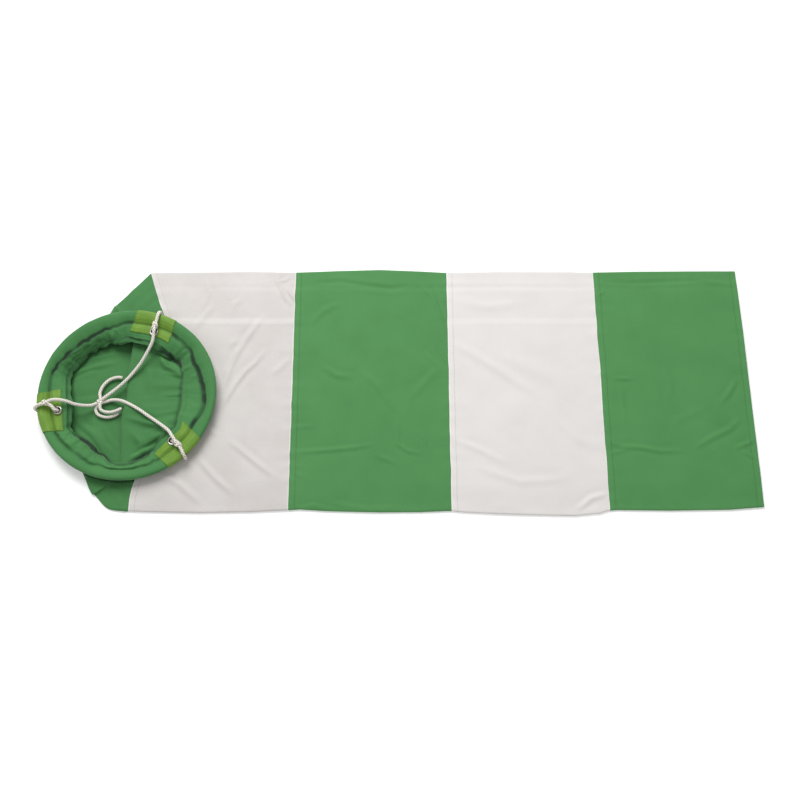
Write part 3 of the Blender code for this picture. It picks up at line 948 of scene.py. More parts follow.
@dataclass
class StitchRow:
    """A row of lockstitch: small rounded stitches that dip into the cloth at both ends."""

    length: float = 2.3 * MM
    pitch: float = 3.1 * MM
    radius: float = 0.28 * MM

    def build(self, name: str, path: np.ndarray, normals: np.ndarray) -> bpy.types.Object:
        """Lay stitches along a path.

        Args:
            name: Name of the piece.
            path: Points on the cloth, in order.
            normals: The cloth's outward direction at each point.

        Returns:
            One mesh of all the stitches.
        """
        step = np.linalg.norm(np.diff(path, axis=0), axis=1)
        along = np.concatenate([[0.0], np.cumsum(step)])
        count = int(along[-1] // self.pitch)
        starts = (np.arange(count) + 0.5) * along[-1] / count - self.length / 2
        stations = np.array([0.0, 0.18, 0.5, 0.82, 1.0])
        heights = np.array([-0.10, 0.16, 0.26, 0.16, -0.10]) * MM
        widths = np.array([0.55, 0.95, 1.0, 0.95, 0.55])
        sides = 6
        where = starts[:, None] + stations[None, :] * self.length
        centre = np.stack([np.interp(where, along, path[:, k]) for k in range(3)], axis=-1)
        up = np.stack([np.interp(where, along, normals[:, k]) for k in range(3)], axis=-1)
        up /= np.linalg.norm(up, axis=-1, keepdims=True)
        ahead = np.gradient(centre, axis=1)
        ahead /= np.linalg.norm(ahead, axis=-1, keepdims=True)
        side = np.cross(ahead, up)
        turn = np.arange(sides) * 2 * math.pi / sides
        level = np.cos(turn)[None, None, :, None] * side[:, :, None, :]
        ring = level + np.sin(turn)[None, None, :, None] * up[:, :, None, :]
        body = centre[:, :, None, :] + up[:, :, None, :] * heights[None, :, None, None]
        points = body + ring * self.radius * widths[None, :, None, None]
        faces = []
        for i in range(len(stations) - 1):
            for k in range(sides):
                n = (k + 1) % sides
                faces.append((i * sides + k, i * sides + n, (i + 1) * sides + n, (i + 1) * sides + k))
        faces.append(tuple(range(sides))[::-1])
        faces.append(tuple((len(stations) - 1) * sides + k for k in range(sides)))
        block = len(stations) * sides
        every = [tuple(i * block + f for f in face) for i in range(count) for face in faces]
        mesh = bpy.data.meshes.new(name)
        mesh.from_pydata(points.reshape(-1, 3).tolist(), [], every)
        mesh.shade_smooth()
        piece = bpy.data.objects.new(name, mesh)
        bpy.context.collection.objects.link(piece)
        face_outwards(piece)
        return piece


def face_outwards(piece: bpy.types.Object) -> None:
    """Turn every face of a closed mesh to look outwards."""
    mesh = bmesh.new()
    mesh.from_mesh(piece.data)
    bmesh.ops.recalc_face_normals(mesh, faces=mesh.faces)
    mesh.to_mesh(piece.data)
    mesh.free()


@dataclass
class Sock:
    """The four stripes that lie flat, and the stitching across them."""

    skin: SockSkin = field(default_factory=SockSkin)
    rows: tuple[str, ...] = (
        "seam_stitching_1", "seam_stitching_2", "seam_stitching_3", "seam_stitching_4", "tail_hem_stitching",
    )

    def build(self, wardrobe: Wardrobe) -> None:
        """Build the stripes and their stitching, and say which bodies they ride on."""
        plan = (
            ("panel_2_white", 0, Slot.WHITE, True, -0.10),
            ("panel_3_green", 1, Slot.GREEN, False, 0.0),
            ("panel_4_white", 2, Slot.WHITE, True, 0.08),
            ("panel_5_green", 3, Slot.GREEN, False, 0.02),
        )
        pieces = {}
        for node, number, slot, band, shade in plan:
            piece = SockPanel("cloth_" + node, number, slot, self.skin, band, shade).build(wardrobe)
            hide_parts(node)
            pieces[node] = piece
        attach(pieces["panel_2_white"], "sock")
        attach(pieces["panel_3_green"], "sock")
        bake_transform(pieces["panel_4_white"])
        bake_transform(pieces["panel_5_green"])
        self.stitch(wardrobe)

    def stitch(self, wardrobe: Wardrobe) -> None:
        """Lay the rows of stitching, 10 mm from each seam."""
        v = np.linspace(-1.0, 3.0, 1200)
        top = ((v < 1) | (v > 3)).astype(float)
        y = self.skin.point(np.full_like(v, self.skin.sample_x), v)[:, 1]
        for number, node in enumerate(self.rows):
            inset = self.skin.allowance if number < 4 else -self.skin.allowance
            x = self.skin.seam(number, y, top) + inset
            points = self.skin.point(x, v)
            ahead = self.skin.point(x, v + 0.002) - self.skin.point(x, v - 0.002)
            normals = np.cross(np.array([1.0, 0.0, 0.0]), ahead)
            normals /= np.linalg.norm(normals, axis=1, keepdims=True)
            piece = StitchRow().build("thread_" + node, points, normals)
            wardrobe.dress(piece, Slot.THREAD)
            if number in (0, 2):
                piece.data.materials[0] = wardrobe.white_thread
            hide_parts(node)
            if number < 2:
                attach(piece, "sock")
            elif number == 2:
                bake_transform(piece)
            elif number == 3:
                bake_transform(piece)
            else:
                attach(piece, "panel_5")


# ---------------------------------------------------------------- the mouth hoop


@dataclass
class HoopPlane:
    """Where the hoop lies: its centre, radius and tilt, read from the ring."""

    rod: float = 0.004

    def __post_init__(self) -> None:
        """Read the ring's box."""
        low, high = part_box("hoop_ring")
        self.centre = np.array(box_centre("hoop_ring"))
        self.radius = (high[0] - low[0]) / 2 - self.rod
        self.tilt = math.asin(((high[2] - low[2]) / 2 - self.rod) / self.radius)

    def place(self, radius: np.ndarray, degrees: np.ndarray, height: np.ndarray) -> np.ndarray:
        """Point given by radius, angle and height over the hoop's plane."""
        turn = np.radians(degrees)
        x = radius * np.cos(turn)
        y = radius * np.sin(turn)
        c, s = math.cos(self.tilt), math.sin(self.tilt)
        local = np.stack([x, y * c - height * s, y * s + height * c], axis=-1)
        return local + self.centre


@dataclass
class MouthBand:
    """The folded band: a sleeve round the rod, a stitched groove, and a flange that hangs in.

    The shape table gives, for each angle in degrees, the groove's radius in millimetres, how
    far the flange drops in degrees, the flange's length in millimetres, how crumpled it is, and
    how much painted shade darkens the groove.
    """

    hoop: HoopPlane
    shape: tuple[tuple[float, ...], ...] = (
        (0, 131.0, 12.0, 42.0, 0.8, 1.0),
        (14, 125.5, 16.0, 35.0, 1.6, 1.0),
        (25, 123.0, 20.0, 26.0, 2.2, 1.0),
        (31, 125.0, 24.0, 25.0, 2.4, 1.0),
        (38, 128.5, 26.0, 28.0, 2.4, 1.0),
        (47, 126.5, 18.0, 29.0, 1.8, 0.9),
        (56, 128.0, 8.0, 29.0, 0.6, 0.6),
        (71, 127.0, 5.0, 28.0, 0.35, 0.6),
        (86, 127.5, 8.0, 28.0, 0.6, 0.6),
        (95, 130.0, 14.0, 26.0, 1.2, 0.9),
        (104, 126.0, 22.0, 22.0, 2.0, 1.0),
        (114, 124.5, 32.0, 20.0, 2.4, 1.0),
        (124, 122.5, 42.0, 20.0, 2.6, 1.0),
        (133, 123.0, 46.0, 20.0, 2.6, 1.0),
        (142, 127.0, 46.0, 21.0, 2.4, 1.0),
        (152, 130.5, 40.0, 22.0, 2.0, 1.0),
        (160, 133.0, 30.0, 24.0, 1.6, 1.0),
        (168, 134.5, 18.0, 27.0, 1.0, 0.9),
        (178, 132.0, 9.0, 29.0, 0.5, 0.7),
        (193, 129.0, 4.0, 28.0, 0.35, 0.6),
        (206, 131.0, 10.0, 24.0, 0.8, 0.7),
        (213, 133.0, 18.0, 21.0, 1.8, 0.8),
        (221, 132.0, 18.0, 23.0, 2.0, 0.45),
        (231, 132.0, 20.0, 26.0, 2.0, 0.25),
        (241, 132.0, 24.0, 25.0, 2.0, 0.2),
        (251, 131.0, 28.0, 22.0, 1.6, 0.2),
        (262, 131.0, 34.0, 11.0, 1.0, 0.1),
        (271, 131.0, 32.0, 10.0, 0.8, 0.1),
        (280, 131.0, 34.0, 14.0, 1.0, 0.2),
        (289, 131.0, 34.0, 20.0, 1.4, 0.4),
        (297, 130.0, 24.0, 24.0, 1.4, 0.5),
        (305, 128.0, 10.0, 26.0, 0.6, 0.5),
        (315, 127.0, 5.0, 27.0, 0.35, 0.5),
        (327, 128.0, 8.0, 27.0, 0.6, 0.7),
        (335, 127.0, 10.0, 32.0, 0.8, 1.0),
        (349, 134.0, 10.0, 43.0, 0.8, 1.0),
    )
    sleeve: float = 4.7 * MM
    wall: float = 0.45 * MM

    def section(self, degrees: np.ndarray, offset: float) -> tuple[np.ndarray, np.ndarray]:
        """Outer profile of the band, from the flange over the sleeve and back underneath.

        Args:
            degrees: Hoop angles, one for each column.
            offset: How far outside the band's own skin the profile lies.

        Returns:
            Radius and height over the hoop's plane, each as (points, angles).
        """
        groove, drop, length, crumple = (around(self.shape, degrees)[:, k] for k in range(4))
        one = np.ones_like(groove)
        jag = crumple * (0.9 * noise(degrees, one, 3.2, 25) + 0.7 * noise(degrees, one, 8.0, 26))
        groove = (groove + jag) * MM
        drop = np.radians(drop)
        length = length * MM
        gather = noise(degrees, one, 5.5, 21) * 0.6 + noise(degrees, one, 13.0, 22) * 0.7
        depth = MM * (1.2 + 0.9 * crumple * (0.6 + 0.4 * noise(degrees, one, 6.0, 27)))
        ring = self.hoop.radius
        sleeve = self.sleeve + offset + 0.22 * MM * noise(degrees, one, 4.0, 23)
        leaf = 1.2 * MM + offset
        radius = []
        height = []
        flange = np.linspace(1.0, 0.0, 14)
        for share in flange:
            bend = drop * (0.35 + 0.65 * share)
            reach = length * share
            lip = min(1.0, 5 * share)
            ripple = 1.0 * MM * crumple * gather * lip * (1 - 0.35 * share)
            ripple = ripple + 0.5 * MM * crumple * noise(degrees, share * 6 + one, 2.6, 28) * lip
            radius.append(groove - reach * np.cos(bend) + leaf * np.sin(bend) * share)
            height.append(-reach * np.sin(bend) + leaf * lip - depth * (1 - lip) + ripple)
        for share in np.linspace(0.10, 1.0, 10):
            rise = math.sin(share * math.pi / 2) ** 0.9
            radius.append(groove + (ring - groove) * share * 0.92)
            wave = 0.55 * MM * crumple * gather * (1 - share) * math.sqrt(share)
            wave = wave + 0.3 * MM * noise(degrees, share * 3 + one, 2.4, 29) * (1 - share)
            height.append(-depth * (1 - rise) + sleeve * 0.985 * rise + wave)
        for turn in np.radians(np.linspace(78.0, -78.0, 17)):
            radius.append(ring + sleeve * math.cos(turn))
            height.append(sleeve * math.sin(turn))
        for share in np.linspace(1.0, 0.10, 7):
            rise = math.sin(share * math.pi / 2) ** 0.9
            radius.append(groove + (ring - groove) * share * 0.92)
            height.append((-depth - 1.6 * MM) * (1 - rise) - sleeve * 0.985 * rise)
        for share in flange[::-1]:
            bend = drop * (0.35 + 0.65 * share)
            reach = length * share
            lip = min(1.0, 5 * share)
            ripple = 1.0 * MM * crumple * gather * lip * (1 - 0.35 * share)
            radius.append(groove - reach * np.cos(bend) - leaf * np.sin(bend) * share)
            height.append(-reach * np.sin(bend) - leaf - (depth + 0.6 * MM) * (1 - lip) + ripple)
        return np.array(radius), np.array(height)

    def flange_edge(self, degrees: np.ndarray) -> tuple[np.ndarray, np.ndarray]:
        """Middle of the flange's inner edge, and the direction it points in.

        Args:
            degrees: Hoop angles.

        Returns:
            Points of the edge, and unit directions in which the flange ends.
        """
        radius, height = self.section(degrees, 0.0)
        middle = self.hoop.place((radius[0] + radius[-1]) / 2, degrees, (height[0] + height[-1]) / 2)
        back = self.hoop.place((radius[3] + radius[-4]) / 2, degrees, (height[3] + height[-4]) / 2)
        ahead = middle - back
        return middle, ahead / np.linalg.norm(ahead, axis=1, keepdims=True)

    def build(self, wardrobe: Wardrobe, patches: list["RimPatch"]) -> None:
        """Build the band, with holes for the eyelets, and the stitching along its flange."""
        degrees = np.linspace(0.0, 360.0, 480, endpoint=False)
        radius, height = self.section(degrees, 0.0)
        points = self.hoop.place(radius, degrees[None, :], height)
        across = np.cumsum(np.r_[0.0, np.hypot(np.diff(radius[:, 0]), np.diff(height[:, 0]))])
        turns = np.append(degrees, 360.0) * math.pi / 180 * self.hoop.radius
        uv = np.stack(np.meshgrid(across, turns, indexing="ij"), axis=-1)
        # Painted shade: the groove rows are darkened by the table's shade column, the flange is darkened in
        # uneven patches where it drops steeply into the hollow, and its inner edge row is darkened too.
        shadow = around(self.shape, degrees)[:, 4] * (0.85 + 0.5 * noise(degrees, degrees * 0, 7.0, 35))
        tone = np.full(radius.shape, 0.40)
        tone[11:16] -= np.array([0.12, 0.40, 0.48, 0.42, 0.14])[:, None] * np.clip(shadow, 0.0, 1.1)
        tone[:14] += 0.03 * noise(degrees, degrees * 0, 4.0, 36)
        hollow = np.clip(around(self.shape, degrees)[:, 1] / 46.0, 0.0, 1.0) ** 2 * (degrees < 200)
        shade_noise = noise(degrees[None, :] / 5, np.arange(12)[:, None] * 1.0, 1.4, 39)
        shade_patches = np.clip(0.6 + 0.7 * shade_noise, 0.0, 1.3)
        tone[:12] -= 0.20 * hollow[None, :] * shade_patches
        tone[0] -= 0.15
        piece = add_grid("cloth_mouth_band", points, uv, tone, closed=True, flip=True)
        for patch in patches:
            punch(piece, self.hoop, patch.angle, patch.reach)
        thicken(piece, self.wall)
        wardrobe.dress(piece, Slot.GREEN)
        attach(piece, "mouth")
        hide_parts("mouth_band")
        wardrobe.redress("hoop_ring", Slot.ROD)
        wardrobe.redress("hoop_joint_pin", Slot.PIN)
        self.stitch(wardrobe)

    def stitch(self, wardrobe: Wardrobe) -> None:
        """Lay two rows of stitching on the flange, near its inner edge."""
        degrees = np.linspace(0.0, 360.0, 1441)
        radius, height = self.section(degrees, 0.0)
        paths = []
        for row in (1, 3):
            here = self.hoop.place(radius[row], degrees, height[row])
            inner = self.hoop.place(radius[row - 1], degrees, height[row - 1])
            ahead = np.gradient(here, axis=0)
            normal = np.cross(ahead, inner - here)
            normal *= np.sign(normal[:, 2:3])
            paths.append((here, normal / np.linalg.norm(normal, axis=1, keepdims=True)))
        rows = [StitchRow().build(f"row_{i}", *path) for i, path in enumerate(paths)]
        piece = join("thread_mouth_stitching", rows)
        wardrobe.dress(piece, Slot.THREAD)
        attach(piece, "mouth")
        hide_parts("mouth_stitching")


def punch(
    piece: bpy.types.Object, hoop: HoopPlane, angle: float, reach: float, hole: float = 6.0 * MM
) -> None:
    """Take the faces of a hoop cloth away where an eyelet goes through it.

    Args:
        piece: The cloth, still a single skin.
        hoop: The hoop's plane.
        angle: The eyelet's hoop angle in degrees.
        reach: The eyelet's distance from the hoop's centre.
        hole: Radius of the hole.
    """
    centre = Vector(hoop.place(np.array(reach), np.array(angle), np.array(0.0)))
    axis = Vector((0.0, -math.sin(hoop.tilt), math.cos(hoop.tilt)))
    mesh = bmesh.new()
    mesh.from_mesh(piece.data)
    gone = []
    for face in mesh.faces:
        away = face.calc_center_median() - centre
        if (away - axis * away.dot(axis)).length < hole and abs(away.dot(axis)) < 8 * MM:
            gone.append(face)
    bmesh.ops.delete(mesh, geom=gone, context="FACES")
    mesh.to_mesh(piece.data)
    mesh.free()


def join(name: str, pieces: list[bpy.types.Object]) -> bpy.types.Object:
    """Join objects into the first one and name it."""
    deselect()
    for piece in pieces:
        piece.select_set(True)
    bpy.context.view_layer.objects.active = pieces[0]
    bpy.ops.object.join()
    pieces[0].name = name
    pieces[0].data.name = name
    return pieces[0]


@dataclass
class RimPatch:
    """A webbing patch folded over the rim where a cord passes through, with its eyelet."""

    side: str
    band: MouthBand
    shift: float = 0.0
    first_row: int = 5
    length: float = 70 * MM
    wall: float = 0.7 * MM
    stand: float = 0.9 * MM
    angle: float = field(init=False)
    reach: float = field(init=False)

    def __post_init__(self) -> None:
        """Read the eyelet's place from the frame."""
        centre = np.array(box_centre("eyelet_" + self.side)) - self.band.hoop.centre
        self.angle = math.degrees(math.atan2(centre[1], centre[0])) % 360
        self.reach = math.hypot(centre[0], centre[1] / math.cos(self.band.hoop.tilt))

    def build(self, wardrobe: Wardrobe) -> None:
        """Build the patch, the eyelet and the washer."""
        hoop = self.band.hoop
        middle = np.array([self.angle + self.shift])
        first = self.band.section(middle, self.stand)
        keep = range(self.first_row, first[0].shape[0] - 3)
        offset = np.linspace(-self.length / 2, self.length / 2, 61)
        lines = []
        for row in keep:
            degrees = middle + np.degrees(np.arcsin(offset / first[0][row, 0]))
            radius, height = self.band.section(degrees, self.stand)
            lines.append(hoop.place(radius[row], degrees, height[row]))
        points = np.array(lines)
        across = np.cumsum(np.r_[0.0, np.linalg.norm(np.diff(points[:, 30], axis=0), axis=1)])
        uv = np.stack(np.meshgrid(across, offset, indexing="ij"), axis=-1)
        tone = np.full(points.shape[:2], 0.5)
        # Painted shade: the patch's rows in the groove are darkened.
        groove = 13 - self.first_row
        tone[groove - 1 : groove + 2] -= np.array([0.15, 0.5, 0.3])[:, None]
        streaks = 0.10 * noise(uv[..., 0], uv[..., 1] * 0.25, 2.6 * MM, 37)
        tone += streaks + 0.06 * noise(uv[..., 0], uv[..., 1], 0.012, 38)
        tone[:, :2] -= 0.12
        tone[:, -2:] -= 0.12
        piece = add_grid("webbing_patch_" + self.side, points, uv, tone, flip=True)
        punch(piece, hoop, self.angle, self.reach)
        thicken(piece, self.wall)
        wardrobe.dress(piece, Slot.LIME)
        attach(piece, "mouth")
        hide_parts("rim_patch_" + self.side)
        Eyelet(self.side, hoop, self.angle, self.reach).build(wardrobe)


@dataclass
class Eyelet:
    """A pressed metal eyelet with a rolled flange, and the toothless washer under it."""

    side: str
    hoop: HoopPlane
    angle: float
    reach: float
    hole: float = 5.0 * MM
    barrel: float = 5.7 * MM
    rim: float = 7.5 * MM
    seat: float = 3.3 * MM
    top: float = 4.3 * MM

    def build(self, wardrobe: Wardrobe) -> None:
        """Turn the two metal pieces and put them in the flange."""
        flange = (
            (self.hole, -self.seat), (self.hole, self.seat - 0.3 * MM),
            (self.hole + 0.25 * MM, self.top - 0.25 * MM), (self.hole + 0.9 * MM, self.top),
            (self.rim - 1.3 * MM, self.top), (self.rim - 0.4 * MM, self.top - 0.25 * MM),
            (self.rim, self.seat + 0.1 * MM), (self.rim - 0.3 * MM, self.seat),
            (self.barrel, self.seat), (self.barrel, -self.seat),
        )
        washer = (
            (self.barrel + 0.3 * MM, -self.seat), (self.barrel + 0.3 * MM, -self.seat - 0.5 * MM),
            (self.barrel + 0.8 * MM, -self.top), (self.rim - 0.8 * MM, -self.top),
            (self.rim, -self.seat - 0.4 * MM), (self.rim, -self.seat),
        )
        for name, node, profile in (
            ("metal_eyelet_", "eyelet_", flange), ("metal_washer_", "eyelet_washer_", washer),
        ):
            piece = self.turn(name + self.side, profile)
            wardrobe.dress(piece, Slot.METAL)
            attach(piece, "mouth")
            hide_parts(node + self.side)

    def turn(self, name: str, profile: tuple[tuple[float, float], ...]) -> bpy.types.Object:
        """Spin a closed profile round the eyelet's axis, starting from a flat ring of edges.

        Args:
            name: Name of the piece.
            profile: Closed outline as (radius, height).

        Returns:
            The turned piece, in place.
        """
        deselect()
        bpy.ops.mesh.primitive_circle_add(vertices=len(profile), radius=1.0, fill_type="NOTHING")
        piece = bpy.context.active_object
        piece.name = name
        for vertex, (r, z) in zip(piece.data.vertices, profile):
            vertex.co = (r, 0.0, z)
        bpy.ops.object.mode_set(mode="EDIT")
        bpy.ops.mesh.select_all(action="SELECT")
        bpy.ops.mesh.spin(steps=48, angle=2 * math.pi, center=(0, 0, 0), axis=(0, 0, 1))
        bpy.ops.mesh.select_all(action="SELECT")
        bpy.ops.mesh.remove_doubles(threshold=0.01 * MM)
        bpy.ops.mesh.normals_make_consistent(inside=False)
        bpy.ops.object.mode_set(mode="OBJECT")
        turn = math.radians(self.angle)
        place = Matrix.Translation((self.reach * math.cos(turn), self.reach * math.sin(turn), 0.0))
        tilt = Matrix.Translation(Vector(self.hoop.centre)) @ Matrix.Rotation(self.hoop.tilt, 4, "X")
        piece.data.transform(tilt @ place)
        piece.data.shade_smooth()
        piece.data.set_sharp_from_angle(angle=math.radians(50.0))
        return piece


@dataclass
class MouthCone:
    """First stripe: from the flange it collapses inside the hoop, folds back, and meets the seam.

    The fold line, where the cloth turns back on itself, is given for each angle as x, y and z
    in millimetres. The gaps are hollows sunk between its folds, with painted shade in them.
    """

    band: MouthBand
    skin: SockSkin
    fold_line: tuple[tuple[float, ...], ...] = (
        (0, -456, -20, 12.0),
        (18, -458, 22, 12.0),
        (36, -455, 60, 12.0),
        (52, -456, 92, 11.0),
        (66, -466, 118, 8.5),
        (78, -480, 142, 6.0),
        (90, -494, 152, 4.6),
        (101, -500, 142, 4.5),
        (113, -508, 130, 4.5),
        (126, -541, 110, 4.5),
        (142, -562, 78, 4.5),
        (160, -582, 32, 4.5),
        (180, -590, -20, 4.5),
        (200, -584, -72, 4.5),
        (216, -568, -109, 4.5),
        (230, -541, -133, 4.5),
        (243, -521, -149, 4.5),
        (253, -514, -163, 4.5),
        (263, -504, -183, 4.6),
        (273, -495, -188, 5.0),
        (282, -472, -168, 7.0),
        (292, -460, -150, 9.5),
        (305, -457, -126, 11.5),
        (322, -459, -92, 12.0),
        (341, -461, -58, 12.0),
    )
    columns: int = 320
    rows: int = 110
    cloth: float = 0.4 * MM
    pleat: float = 3.0 * MM
    lobe: float = 11.0 * MM
    crease_gain: float = 1.8
    gap_gain: float = 2.0
    middle: tuple[float, float] = (-0.4525, -0.02)
    girth_radius: float = 0.139
    drawn_length: float = 0.24
    creases: tuple[Crease, ...] = (
        Crease(((-406, 56), (-394, 34), (-366, 20), (-340, 14)), 3.2, 5.0),
        Crease(((-436, 60), (-420, 20), (-410, -30)), 1.2, 9.0),
        Crease(((-450, -60), (-411, -70), (-372, -80)), 2.4, 5.0),
        Crease(((-440, -86), (-424, -104), (-420, -124)), 1.6, 6.0),
        Crease(((-408, 70), (-378, 50), (-360, 28), (-340, 34), (-330, 10), (-322, -30)), 2.2, 4.0),
        Crease(((-572, 20), (-523, 37), (-486, 46)), 2.0, 5.0),
        Crease(((-556, 62), (-518, 77), (-480, 88)), 2.6, 5.0),
        Crease(((-545, 44), (-500, 60), (-470, 64)), 1.4, 6.0),
        Crease(((-560, -30), (-520, -24), (-470, -34)), 1.1, 9.0),
        Crease(((-540, -60), (-510, -84), (-480, -128)), 1.8, 7.0),
        Crease(((-556, -72), (-536, -100), (-500, -130)), 2.2, 5.0),
        Crease(((-505, -70), (-490, -100), (-470, -120)), 1.3, 6.0),
        Crease(((-470, 200), (-462, 170), (-470, 150)), 1.0, 6.0),
        Crease(((-446, 190), (-440, 160), (-446, 140)), 0.8, 5.0),
        Crease(((-470, -176), (-456, -196), (-452, -210)), 1.2, 5.0),
    )
    gaps: tuple[Crease, ...] = (
        Crease(((-534, -88), (-519, -99), (-493, -119), (-473, -136)), 1.0, 4.5),
        Crease(((-439, -136), (-423, -127), (-406, -115)), 1.0, 3.5),
        Crease(((-548, 62), (-524, 84), (-498, 96), (-470, 100)), 0.8, 7.0),
        Crease(((-412, 64), (-384, 50), (-366, 34), (-360, 22)), 0.8, 4.0),
    )

    def stations(self, degrees: np.ndarray) -> np.ndarray:
        """Guide points of every line of the cloth, from the flange to the seam.

        Args:
            degrees: Place around the tube, one for each line.

        Returns:
            Array of (stations, lines, 3).
        """
        edge, ahead = self.band.flange_edge(degrees)
        fold = around(self.fold_line, degrees) * MM
        v = np.where(degrees <= 180, degrees / 90, degrees / 90 - 4)
        v = np.where(v < -1, v + 4, v)
        top = ((v < 1) | (v > 3)).astype(float)
        rough = self.skin.point(np.full_like(v, self.skin.sample_x), v)
        seam = self.skin.point(self.skin.seam(0, rough[:, 1], top), v)
        seam[:, 0] -= 0.15 * MM
        flat_in = fold - edge
        flat_in[:, 2] = 0.0
        reach_in = np.linalg.norm(flat_in, axis=1, keepdims=True)
        flat_in /= np.maximum(reach_in, 1e-6)
        flat_out = seam - fold
        flat_out[:, 2] = 0.0
        reach_out = np.linalg.norm(flat_out, axis=1, keepdims=True)
        flat_out /= np.maximum(reach_out, 1e-6)
        lift = np.array([0.0, 0.0, 1.0])
        turn = 2.4 * MM
        inside = edge - ahead * 4 * MM
        hang = edge + ahead * 7 * MM
        hang[:, 2] = np.maximum(hang[:, 2], fold[:, 2] + 3 * MM)
        above = fold - flat_in * 5 * MM + lift * turn
        below = fold + flat_out * 5 * MM - lift * turn
        half = hang * 0.55 + above * 0.45
        sag = np.where(np.cos(np.radians(degrees)) > 0, 0.35, 0.75)
        half[:, 2] = hang[:, 2] * (1 - sag) + above[:, 2] * sag
        half[:, 2] = np.maximum(half[:, 2], above[:, 2] + 0.5 * MM)
        late = hang * 0.2 + above * 0.8
        late[:, 2] = above[:, 2] + (half[:, 2] - above[:, 2]) * 0.25
        middle = (below + seam) / 2
        nearly = below * 0.12 + seam * 0.88
        nearly[:, 2] = seam[:, 2]
        bulge = self.lobe * np.exp(-(((degrees - 269.0) / 13.0) ** 2))
        middle -= bulge[:, None] * np.array([0.60, 0.72, 0.0])
        nearly -= 0.3 * bulge[:, None] * np.array([0.3, 0.95, 0.0])
        return np.array([inside, edge, hang, half, late, above, fold, below, middle, nearly, seam])

    def build(self, wardrobe: Wardrobe) -> bpy.types.Object:
        """Build the collapsed stripe."""
        degrees = np.linspace(0.0, 360.0, self.columns, endpoint=False)
        points = even_rows(spline_rows(self.stations(degrees), 14), self.rows)
        fold = around(self.fold_line, degrees) * MM
        distance = np.linalg.norm(points - fold[None], axis=2)
        turn = np.argmin(distance, axis=0)
        row = np.arange(self.rows)[:, None]
        before = row <= turn[None, :]
        share = row / (self.rows - 1)
        upper = np.cos(np.radians(degrees))[None, :] > 0
        x, y = points[..., 0], points[..., 1]
        ends = smooth_step(share / 0.10) * smooth_step((1 - share) / 0.08)
        lift = np.zeros(x.shape)
        for crease in self.creases:
            lift += self.crease_gain * crease.lift(x, y)
        for gap in self.gaps:
            lift -= self.gap_gain * gap.lift(x, y) * before
        lift += 0.8 * MM * noise(x, y, 0.022, 31) + 1.1 * MM * noise(x, y, 0.045, 32)
        shown = (before & upper) | (~before & ~upper)
        from_x, from_y = self.middle
        lobe = ~before & upper & (np.hypot(x - from_x, y - from_y) > 0.13)
        lift = np.where(shown, lift, np.where(lobe, 0.5 * lift, 0.15 * np.abs(lift)))
        floor_layer = ~before & ~upper
        lift = np.where(floor_layer, np.abs(lift) * 0.9, lift)
        points[..., 2] += lift * ends
        sideways = np.roll(points, -1, axis=1) - np.roll(points, 1, axis=1)
        normal = np.cross(np.gradient(points, axis=0), sideways)
        normal /= np.maximum(np.linalg.norm(normal, axis=2, keepdims=True), 1e-9)
        one = np.ones_like(degrees)
        pleat = 0.8 * noise(degrees, one, 5.6, 33) + 0.6 * noise(degrees + 30 * share, one, 9.0, 34)
        reach = smooth_step(share / 0.03) * np.exp(-((share / 0.30) ** 2))
        points += normal * (self.pleat * pleat * reach)[..., None]
        points[..., 2] = np.maximum(points[..., 2], 0.5 * MM)
        turns = np.radians(np.append(degrees, 360.0)) * self.girth_radius
        along = np.linspace(0.0, self.drawn_length, self.rows)
        uv = np.stack(np.meshgrid(along, turns, indexing="ij"), axis=-1)
        # Painted shade: the cloth is darkened near and under the flange's edge and in the gaps, and it is a
        # touch darker inside the hoop than on the lobes beyond it.
        radial = np.hypot(x - from_x, y - from_y)
        edge = self.band.flange_edge(degrees)[0]
        rim = np.hypot(edge[:, 0] - from_x, edge[:, 1] - from_y)
        turned = np.degrees(np.arctan2(y - from_y, x - from_x)) % 360
        rim_here = np.interp(turned, np.append(degrees, 360.0), np.append(rim, rim[0]))
        flange_shade = smooth_step((radial - rim_here + 9 * MM) / (11 * MM)) * (radial < 0.15)
        outside = smooth_step((radial - 0.146) / 0.006)
        tone = 0.37 - 0.26 * flange_shade + 0.03 * outside
        for gap in self.gaps:
            tone -= 0.42 * gap.lift(x, y) / MM * before
        piece = add_grid("cloth_panel_1_green", points, uv, tone, closed=True)
        thicken(piece, self.cloth, 0.0)
        wardrobe.dress(piece, Slot.GREEN)
        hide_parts("panel_1_green")
        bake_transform(piece)
        return piece


# ---------------------------------------------------------------- the bridle


